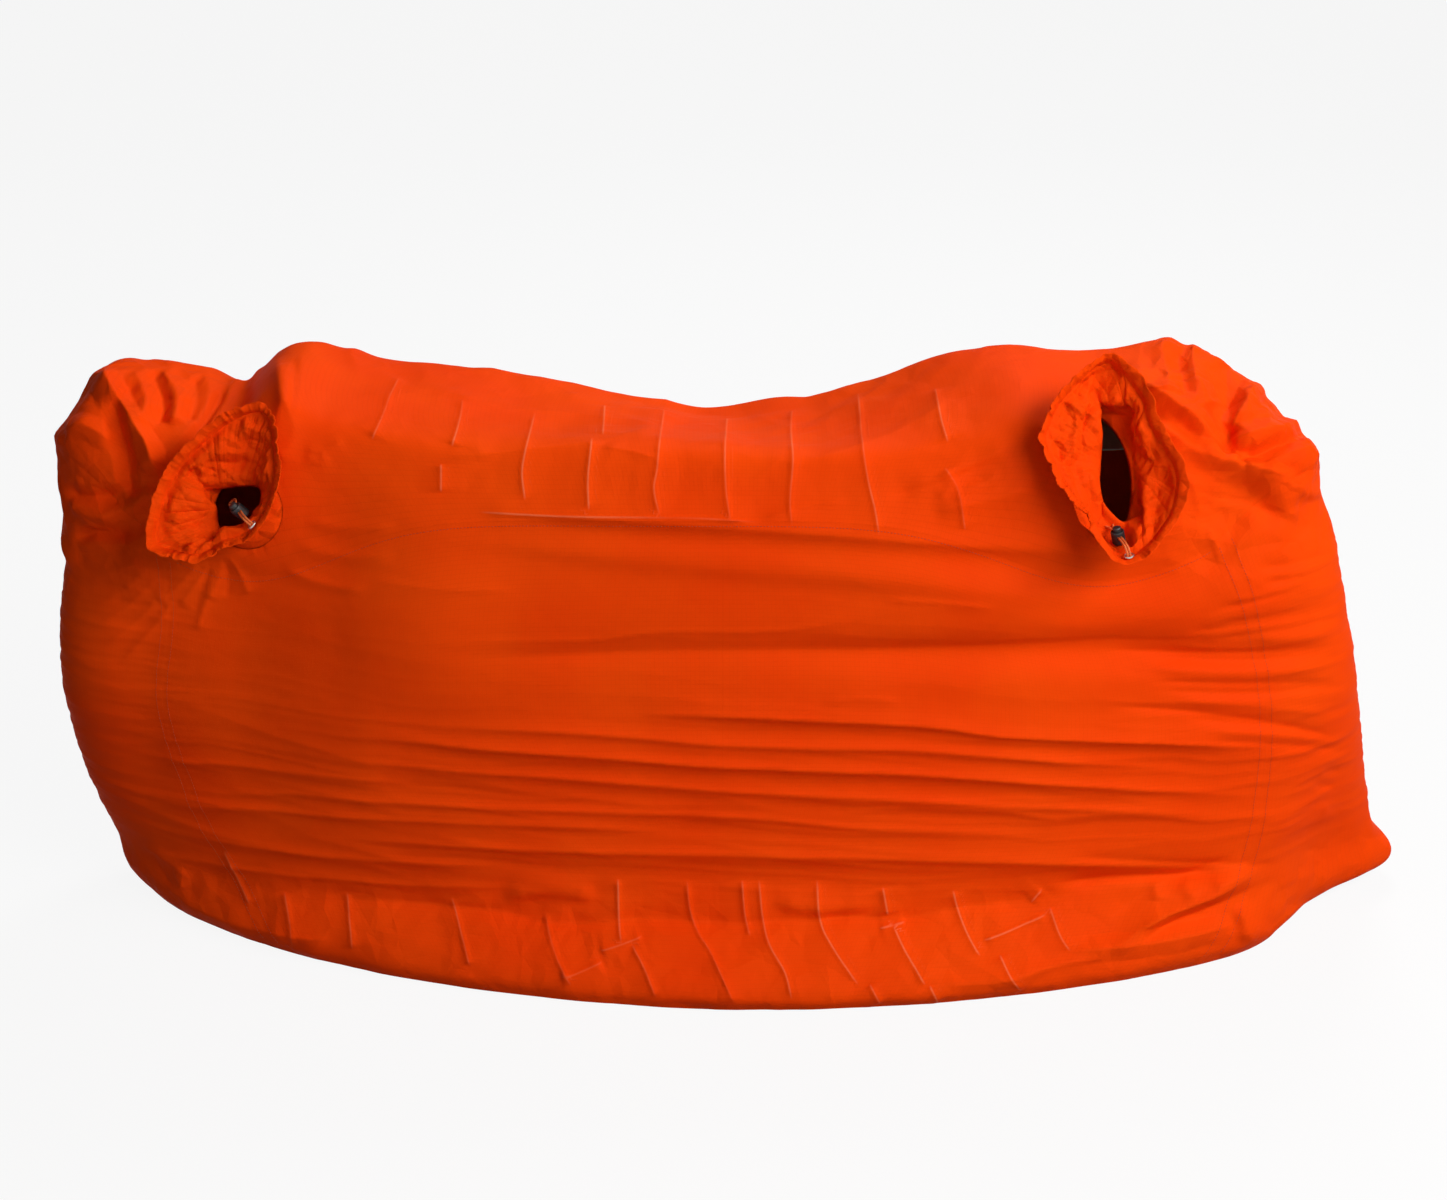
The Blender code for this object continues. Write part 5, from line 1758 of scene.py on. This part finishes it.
@dataclass
class Hems:
    """Turned and stitched hems on the inner edge of the cloth on the floor."""

    kit: Kit
    lift: float = 0.0010
    thick: float = 0.0009
    turned: float = 0.02
    wave: float = 0.0012

    def build(self) -> None:
        """Make the four hems."""
        drape = self.kit.drape
        v = np.linspace(-1.0, -0.86, 6)
        bulge = np.sin(np.linspace(0, math.pi, 6))[:, None] ** 0.5
        for side, start, cols, _ in Walls(self.kit).sides:
            u = start + np.linspace(0.003, 0.997, cols)
            points = drape.wall(u[None, :], v[:, None])
            wave = self.wave * (0.5 + noise(points * 30.0, 61)) * bulge
            points[..., 2] = self.lift + np.abs(wave)
            flat = np.meshgrid(np.linspace(0, drape.cut_length, cols), np.linspace(0, self.turned, 6))
            uv = np.stack(flat, -1)
            piece = thicken(put_grid(side + "_turned_hem", points, uv, flip=True), self.thick, offset=1.0)
            self.kit.keep(piece, "hem", "shelter", (side + "_hem",), "hem_nylon")


@dataclass
class VentPieces:
    """Collar, drawcord channel, cord and dressed lock of one vent.

    The casing's section is a row of pairs: place across the band, and half thickness there, as
    shares of half and thick. The lock's sizes are places in the eyelet's frame.
    """

    kit: Kit
    vent: Vent
    roof: Array
    stations: int = 420
    bands: int = 56
    half: float = CASING_HALF
    thick: float = 0.0024
    flare: float = math.radians(57.0)
    cord: float = 0.0025
    cloth: float = 0.0006
    section: tuple[tuple[float, float], ...] = (
        (-1.0, 0.22), (-0.92, 0.30), (-0.72, 0.32), (-0.50, 0.62), (-0.2, 1.0), (0.2, 1.0), (0.5, 0.80),
        (0.78, 0.48), (0.95, 0.22))
    lock_at: float = 0.031
    lock_lift: float = 0.0172
    lock_low: float = -0.0105
    lock_radius: float = 0.0078
    lock_travel: tuple[float, float] = (-0.008, 0.010)
    spring_keep: float = 0.27
    blend_end: float = -0.028
    phi: Array = field(init=False)
    circle: Array = field(init=False)
    turn: Array = field(init=False)

    def __post_init__(self) -> None:
        """Angles round the rim, the circle that the noises are read on, and the turn from the lock."""
        self.phi = np.arange(self.stations) * TAU / self.stations
        self.circle = np.stack([np.cos(self.phi), np.sin(self.phi), 0.3 + 0 * self.phi], -1)
        self.turn = turn_between(self.phi, math.radians(self.vent.cord_angle))

    def contour(self) -> Array:
        """Line of the drawcord in the rim's plane.

        It is the rim's outline in the photograph set in by 5 mm, and the CAD ring near the exit.

        Returns:
            A point of two numbers for each angle.
        """
        v = self.vent
        m = v.matrix()
        a, b = v.ring
        seen = smooth_path(np.array(v.rim_seen).reshape(-1, 2), 12, closed=True)
        level = m[:3, 3] + m[:3, 2] * self.half * math.sin(self.flare)
        x, y = v.local(VIEW.on_plane(seen, level, m[:3, 2]))[:, :2].T
        share = round_values(np.arctan2(y / b, x / a), np.hypot(x / a, y / b), self.phi)
        x, y = a * np.cos(self.phi), b * np.sin(self.phi)
        share = share - self.half * math.cos(self.flare) / np.hypot(x, y)
        near = swell(self.turn, 0.0, math.radians(20.0))
        share = share * (1 - near) + near
        return np.stack([x * share, y * share], -1)

    def rim_frame(self) -> tuple[Array, Array, Array]:
        """Lie of the channel, round the rim.

        Returns:
            Its centre line, and its directions along the band and off its inner face.
        """
        line = self.contour()
        along = np.roll(line, -3, 0) - np.roll(line, 3, 0)
        away = np.stack([along[:, 1], -along[:, 0]], -1)
        away /= np.linalg.norm(away, axis=1, keepdims=True)
        away3 = np.concatenate([away, np.zeros((len(away), 1))], 1)
        out = np.array((0.0, 0.0, 1.0))
        band = away3 * math.cos(self.flare) + out * math.sin(self.flare)
        face = out * math.cos(self.flare) - away3 * math.sin(self.flare)
        centre = np.concatenate([line, np.zeros((len(line), 1))], 1)
        return centre, band, face

    def ruffle(self, across: float) -> Array:
        """How far the puckered band stands off its flat place, round the rim.

        Args:
            across: Place across the band, from minus to plus half.

        Returns:
            A height for each angle.
        """
        v = self.vent
        calm = 1.0 - 0.85 * swell(self.turn, 0.0, math.radians(8.0))
        out = (across + self.half) / (2 * self.half)
        swing = 0.0018 * streaks(self.circle * 5.0, v.seed + 9)
        swing += 0.0010 * streaks(self.circle * 11.0, v.seed + 10)
        row = self.circle * np.array((*v.ring, 0.0)) + np.array((0.0, 0.0, across))
        crush = 0.0032 * facets(row / 0.024, v.seed + 12) + 0.0016 * facets(row / 0.011, v.seed + 13)
        return calm * (swing * (0.25 + out) + out * crush)

    def slot_line(self) -> Array:
        """Outline of the dark slot, at the throat's depth.

        Returns:
            A point of the rim's frame for each angle.
        """
        v = self.vent
        m = v.matrix()
        seen = smooth_path(np.array(v.slot_seen).reshape(-1, 2), 12, closed=True)
        slot = v.local(VIEW.on_plane(seen, m[:3, 3] - m[:3, 2] * v.slot_depth, m[:3, 2]))[:, :2]
        middle = slot.mean(0)
        x, y = (slot - middle).T
        far = round_values(np.arctan2(y, x), np.hypot(x, y), self.phi)
        across, up = middle[0] + far * np.cos(self.phi), middle[1] + far * np.sin(self.phi)
        return np.stack([across, up, np.full(self.stations, -v.slot_depth)], -1)

    def hole_line(self) -> Array:
        """Edge of the hole in the roof, at the height of the roof's own points there.

        Returns:
            A point of the rim's frame for each angle.
        """
        v = self.vent
        roof = self.roof.reshape(-1, 3)
        share = v.hole_share(roof)
        q = v.local(roof)[(share > 0.9) & (share < 1.15)]
        angle = np.arctan2((q[:, 1] - v.shift[1]) / v.open_hole[1], (q[:, 0] - v.shift[0]) / v.open_hole[0])
        weight = np.exp(-(turn_between(angle[:, None], self.phi[None, :]) / 0.12) ** 2)
        height = (weight * q[:, 2:3]).sum(0) / weight.sum(0)
        return np.stack([v.shift[0] + (v.open_hole[0] - 0.0008) * np.cos(self.phi),
                         v.shift[1] + (v.open_hole[1] - 0.0008) * np.sin(self.phi), height], -1)

    def funnel_rows(self, steps: Array) -> Array:
        """The funnel without its crumples: hole edge, throat, then a bulge out to the rim.

        Args:
            steps: Shares of the way from the slot to the rim.

        Returns:
            Rows of points in the rim's frame.
        """
        centre, band, face = self.rim_frame()
        rim = centre - band * (self.half + 0.0002) - face * 0.0004
        slot, hole = self.slot_line(), self.hole_line()
        inner = hole.copy()
        inner[:, 2] -= 0.009
        rows = [inner, hole]
        rows += [hole * (1 - share) + slot * share for share in (0.35, 0.7, 1.0)]
        for share in steps:
            lift = share ** 0.55
            flat = slot * (1 - share) + rim * share
            flat[:, 2] = slot[:, 2] * (1 - lift) + rim[:, 2] * lift
            rows.append(flat)
        return np.stack(rows)

    def build_collar(self) -> None:
        """Make the funnel: its rows, crumpled in the throat and gathered toward the rim."""
        v = self.vent
        steps = np.linspace(0.0, 1.0, self.bands)[1:]
        points = self.funnel_rows(steps)
        share = np.concatenate([np.zeros(5), steps])[:, None]
        free = np.concatenate([[0, 0, 0.1, 0.15, 0.15], 0.15 + 0.85 * ramp(0.0, 0.35, steps)])[:, None]
        by_lock = swell(self.turn, 0.0, 0.42)[None, :]
        free = free * ramp(1.0, 0.80, share) * (1.0 - 0.85 * by_lock)
        bend = np.stack([noise(points / 0.035, v.seed + k) for k in (1, 2, 3)], -1)
        crumple = 0.0120 * facets((points + 0.004 * bend) / 0.036, v.seed + 4)
        crumple += 0.0070 * facets((points + 0.003 * bend) / 0.018, v.seed + 5)
        crumple += 0.0018 * facets(points / 0.009, v.seed + 6)
        gathers = streaks(self.circle * 3.4, v.seed + 7) * 0.0030
        gathers = gathers[None, :] + streaks(self.circle * 7.5, v.seed + 8)[None, :] * 0.0012
        normal = np.cross(np.roll(points, -1, 1) - np.roll(points, 1, 1), np.gradient(points, axis=0))
        normal /= np.linalg.norm(normal, axis=-1, keepdims=True) + 1e-12
        rise = crumple * free + gathers * share ** 0.8 * ramp(1.0, 0.86, share)
        rise = rise - 0.006 * by_lock * ramp(0.15, 0.5, share) * ramp(1.0, 0.8, share)
        points = points + normal * rise[..., None]
        behind = ramp(1.5, 1.1, self.turn)[None, :] * ramp(0.02, 0.12, share)
        world = self.clear_lock(v.world(points), behind)
        up = np.linspace(0, 0.11, len(points))
        uv = np.stack(np.broadcast_arrays(self.phi[None, :] * 0.09, up[:, None]), -1)
        piece = put_grid(v.side + "_vent_funnel", world, uv, wrap=True, creased=1.0)
        thicken(piece, self.cloth)
        self.kit.keep(piece, "collar", "", (v.side + "_vent_collar",), "ripstop_nylon_collar")
        start = v.world(np.array((0.0, 0.0, -v.seam_height + 0.004)))
        end = v.world(np.array((0.0, 0.0, self.blend_end)))
        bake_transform(piece)

    def clear_lock(self, p: Array, weight: Array) -> Array:
        """Cloth pushed back from the space that the cord lock slides in.

        Args:
            p: Points of the cloth.
            weight: 1 for the cloth behind the lock, 0 for the far side of the slot.

        Returns:
            The points, moved along the lock's own axis.
        """
        m = np.array(self.eyelet())
        q = (p - m[:3, 3]) @ m[:3, :3] - np.array((0.0, self.lock_at, self.lock_lift))
        low, high = self.lock_travel
        r = self.lock_radius
        outside = np.hypot(np.maximum(np.abs(q[..., 0]) - r, 0.0),
                           np.maximum(np.maximum(low - r - q[..., 1], q[..., 1] - high - r), 0.0))
        over = q[..., 2] - (self.lock_low - 0.0027 + 1.1 * outside)
        push = 0.5 * (over + np.hypot(over, 0.0012)) * weight * (over > -0.006)
        return p - push[..., None] * m[:3, 2]

    def build_channel(self) -> None:
        """Make the stitched casing: a flat folded band round the rim, puckered by its stitches."""
        v = self.vent
        centre, band, face = self.rim_frame()
        h, t = self.half, self.thick
        under = [(w * h, -e * t) for w, e in self.section]
        over = [(w * h, e * t) for w, e in reversed(self.section)]
        edge = 0.0026 * noise(self.circle * 6.0, v.seed + 11)
        rows = []
        for w, e in [*under, (h, 0.0), *over]:
            across = w + edge * ((w + h) / (2 * h)) ** 2
            rows.append(centre + band * across[:, None] + face * (e + self.ruffle(w))[:, None])
        points = v.world(np.stack(rows)).reshape(-1, 3)
        up = np.linspace(0, 0.045, len(rows))
        uv = np.stack(np.broadcast_arrays(self.phi[None, :] * 0.09, up[:, None]), -1)
        faces = grid_faces(len(rows) + 1, self.stations, True) % len(points)
        piece = put_mesh(v.side + "_drawcord_casing", points, faces, uv.reshape(-1, 2), 1.0)
        self.kit.keep(piece, "collar", v.side + "_rim", (v.side + "_vent_channel",), "ripstop_nylon_collar")

    def eyelet(self) -> Matrix:
        """Frame where the cord leaves.

        Returns:
            A matrix with X along the ring, Y back toward the funnel and Z off the face.
        """
        a, b = self.vent.ring
        phi = math.radians(self.vent.cord_angle)
        away = Vector((math.cos(phi) / a, math.sin(phi) / b, 0.0)).normalized()
        out = Vector((0.0, 0.0, 1.0))
        back = -(away * math.cos(self.flare) + out * math.sin(self.flare))
        off = out * math.cos(self.flare) - away * math.sin(self.flare)
        turn = Matrix((back.cross(off), back, off)).transposed().to_4x4()
        place = Vector((a * math.cos(phi), b * math.sin(phi), 0.0)) + back * 0.002
        return Matrix(self.vent.matrix().tolist()) @ Matrix.Translation(place) @ turn

    def tail_path(self, apart: float = 0.0015, start: float = 0.012, run: float = 0.038,
                  loop: float = 0.025) -> Array:
        """Out of the eyelet, through the lock, round a small hanging loop and back the same way.

        Args:
            apart: Half the distance of the two strands.
            start: Where the strands run straight from.
            run: How long they run straight.
            loop: How far the loop reaches past that.

        Returns:
            Points evenly apart.
        """
        m = self.eyelet()
        lift = self.lock_lift
        end = start + run
        strand = [(0.0019, -0.0005, 0.0040), (apart, 0.0, 0.0062), (apart, 0.0, 0.0086),
                  (apart, 0.0017, 0.0125), (apart, 0.0052, lift - 0.0014)]
        strand += [(apart, start + k * run / 5, lift) for k in range(6)]
        strand += [(0.0036, end + 0.007, lift), (0.0050, end + 0.014, lift), (0.0038, end + 0.021, lift)]
        tail = strand + [(0.0, end + loop, lift)] + [(-x, y, z) for x, y, z in reversed(strand)]
        down = np.array(m.to_3x3().inverted() @ Vector((0, 0, -1)))
        hung = [np.array(p) + down * max(0.0, p[1] - end) ** 2 * 7.0 for p in tail]
        smooth = smooth_path(np.array([m @ Vector(p) for p in hung]), 12)
        length = arc_length(smooth)
        return read_path(np.linspace(0.0, length[-1], 120), length, smooth)

    def build_cord(self) -> None:
        """Make the elastic drawcord: the ring inside the casing, and the tail out of the eyelet."""
        v = self.vent
        centre, band, face = self.rim_frame()
        inset = 0.0012
        ring = v.world(centre + band * inset + face * self.ruffle(inset)[:, None])
        inside = put_mesh(v.side + "_drawcord_ring", *tube(ring, self.cord / 2 * 0.9, 8, closed=True))
        self.kit.keep(inside, "cord", v.side + "_rim", (v.side + "_drawcord",), "elastic_cord_orange")
        path = self.tail_path()
        tail = put_mesh(v.side + "_drawcord_tail", *tube(path, self.cord / 2, 14))
        self.kit.keep(tail, "cord", v.side + "_rim", (), "elastic_cord_orange")

    def dress_lock(self) -> None:
        """Give the CAD solids of the lock and the eyelet their finishes, and give the spring a mesh of its
        own.
        """
        parts = {"eyelet": "steel", "lock_barrel": "black", "lock_plunger": "black", "lock_spring": "steel"}
        for part, finish in parts.items():
            node = bpy.data.objects[f"{self.vent.side}_{part}"]
            for place in node.material_slots:
                place.material = self.kit.materials[finish]
            if not node.material_slots:
                node.data.materials.append(self.kit.materials[finish])
        m = self.eyelet()
        spring = bpy.data.objects[f"{self.vent.side}_lock_spring"]
        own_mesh(spring)

    def build(self) -> None:
        """Make the whole vent."""
        self.build_cord()
        self.build_collar()
        self.build_channel()
        self.dress_lock()


@dataclass
class Stitches:
    """Short rounded threads set along a seam, as one piece for each row of them.

    Each thread is a six-sided spindle. Its rings are given by their place along it, thickness and
    rise over the cloth, as shares of half its length and of its radius.
    """

    kit: Kit
    long: float = 0.0026
    pitch: float = 0.0040
    radius: float = 0.00035
    beside: float = 0.008
    off: float = 0.0003
    sides: int = 6
    places: tuple[float, ...] = (-1.0, -0.72, 0.0, 0.72, 1.0)
    thick: tuple[float, ...] = (0.15, 0.75, 1.0, 0.75, 0.15)
    rise: tuple[float, ...] = (-0.6, 0.35, 0.9, 0.35, -0.6)

    def along(self, name: str, base: Array) -> None:
        """Make the stitches on a line of the cloth, all placed at once as whole arrays.

        Args:
            name: Name of the piece.
            base: Points of the line on the base surface.
        """
        normal = self.kit.drape.outward(base)
        path = self.kit.drape.dressed(base) + normal * self.off
        run = arc_length(path)
        at = np.arange(self.pitch, run[-1] - self.pitch, self.pitch)
        here = read_path(at, run, path)
        ahead = read_path(at + 0.001, run, path) - here
        ahead /= np.linalg.norm(ahead, axis=1, keepdims=True)
        up = read_path(at, run, normal)
        up -= ahead * (up * ahead).sum(1, keepdims=True)
        up /= np.linalg.norm(up, axis=1, keepdims=True)
        side = np.cross(ahead, up)
        rows = (self.places, self.thick, self.rise)
        places, thick, rise = (np.array(row)[:, None, None, None] for row in rows)
        a = np.arange(self.sides)[None, :, None, None] * TAU / self.sides
        ring = np.cos(a) * side + np.sin(a) * up
        points = here + (places * self.long / 2) * ahead + (rise * self.radius) * up
        points = (points + (thick * self.radius) * ring).transpose(2, 0, 1, 3)
        caps = np.array([[3, 2, 1, 0], [5, 4, 3, 0], [24, 25, 26, 27], [24, 27, 28, 29]])
        one = np.vstack([grid_faces(len(self.places), self.sides, True), caps])
        size = len(self.places) * self.sides
        faces = (one[None] + size * np.arange(len(at))[:, None, None]).reshape(-1, 4)
        piece = put_mesh(name, points.reshape(-1, 3), faces)
        self.kit.keep(piece, "thread", "shelter", (), "hem_nylon")

    def build(self) -> None:
        """Make two rows along each corner seam, and one along the front and back roof seams."""
        drape = self.kit.drape
        up = np.linspace(0.03, 0.99, 400)
        steps = (("a", self.beside / drape.cut_length), ("b", -self.beside / drape.cut_depth))
        for at, corner in enumerate(CORNERS):
            for name, step in steps:
                place = np.mod(np.full(400, at + (step if at % 2 == 0 else -step)), 4.0)
                self.along(f"{corner}_stitches_{name}", drape.wall(place, up))
        t = np.linspace(0.01, 0.99, 700)
        for side, start in (("front", 0.0), ("back", 2.0)):
            base = drape.wall(start + t, 1.0 - self.beside / drape.wall_height)
            self.along(f"roof_{side}_stitches", base)


@dataclass
class Studio:
    """Floor, backdrop, lamps and world."""

    reach: float = 60.0
    bend_from: float = 3.5
    bend: float = 2.5
    paper: float = 0.36
    glow: float = 1.12
    glow_share: float = 0.80
    world_light: float = 0.06
    aim: tuple[float, float, float] = (0.0, 0.0, 0.35)

    def lamp(self, name: str, place: tuple[float, float, float], size: tuple[float, float], power: float,
             colour: tuple[float, float, float] = (1.0, 1.0, 1.0)) -> None:
        """Make a soft lamp aimed at the middle of the shelter.

        Args:
            name: Its name.
            place: Where it stands.
            size: How wide and how tall it is.
            power: Its power in watts.
            colour: Colour of its light.
        """
        data = bpy.data.lights.new(name, "AREA")
        data.shape = "RECTANGLE"
        data.size, data.size_y = size
        data.energy = power
        data.color = colour
        lamp = bpy.data.objects.new(name, data)
        bpy.context.scene.collection.objects.link(lamp)
        lamp.location = place
        lamp.rotation_euler = (Vector(self.aim) - Vector(place)).to_track_quat("-Z", "Y").to_euler()

    def floor(self) -> None:
        """Make the pale floor, which bends up into a backdrop behind."""
        a = np.linspace(0.1, math.pi / 2, 12)
        y = np.concatenate([np.linspace(-self.reach, self.bend_from, 20),
                            self.bend_from + self.bend * np.sin(a), np.full(6, self.bend_from + self.bend)])
        z = np.concatenate([np.zeros(20), self.bend - self.bend * np.cos(a), np.linspace(3.0, 7.0, 6)])
        x = np.linspace(-self.reach, self.reach, 40)
        points = np.stack(np.broadcast_arrays(x[None, :], y[:, None], z[:, None]), -1)
        piece = put_grid("studio_floor", points)
        made, w, shader = new_material("studio_paper")
        shader.inputs["Base Color"].default_value = (self.paper, self.paper, self.paper, 1.0)
        shader.inputs["Roughness"].default_value = 0.95
        shader.inputs["Specular IOR Level"].default_value = 0.0
        out = made.node_tree.nodes["Material Output"]
        seen = w.background_rays()
        glow = w.node("ShaderNodeEmission", {"Strength": self.glow})
        mix = w.node("ShaderNodeMixShader")
        w.join(w.maths("MULTIPLY", seen, self.glow_share), mix.inputs[0])
        w.join(shader.outputs[0], mix.inputs[1])
        w.join(glow.outputs[0], mix.inputs[2])
        w.join(mix.outputs[0], out.inputs["Surface"])
        piece.data.materials.append(made)

    def world(self) -> None:
        """Make the world: white for the background rays, a plain grey light for the object."""
        world = bpy.data.worlds.new("studio_world")
        bpy.context.scene.world = world
        world.use_nodes = True
        w = Wiring(world.node_tree)
        back = world.node_tree.nodes["Background"]
        strength = w.scaled(w.background_rays(), 1.0 - self.world_light, self.world_light)
        w.join(strength, back.inputs["Strength"])
        back.inputs["Color"].default_value = (1.0, 1.0, 1.0, 1.0)

    def build(self) -> None:
        """Make the studio."""
        self.floor()
        self.world()
        self.lamp("key_lamp", (1.9, -1.6, 2.3), (3.0, 1.1), 98.0, (1.0, 0.98, 0.95))
        self.lamp("front_fill", (-0.4, -3.4, 2.4), (2.2, 2.2), 16.0)
        self.lamp("rear_fill", (0.7, 2.1, 3.1), (1.2, 1.2), 62.0)
        bpy.context.scene.view_settings.view_transform = "Standard"


def main() -> None:
    """Build every piece in order."""
    logging.basicConfig(level=logging.INFO, format="%(message)s")
    VIEW.make()
    groups = {"weave": ripstop_group(), "crinkle": crinkle_group(), "crease": crease_group()}
    kit = Kit(Drape(), {key: finish.make(groups) for key, finish in FINISHES.items()})
    roof_points = Roof(kit).build()
    for vent in VENTS:
        VentPieces(kit, vent, roof_points).build()
    for part in (Walls(kit), SeamTapes(kit), Hems(kit), Stitches(kit), Studio()):
        part.build()


if __name__ == "__main__":
    main()
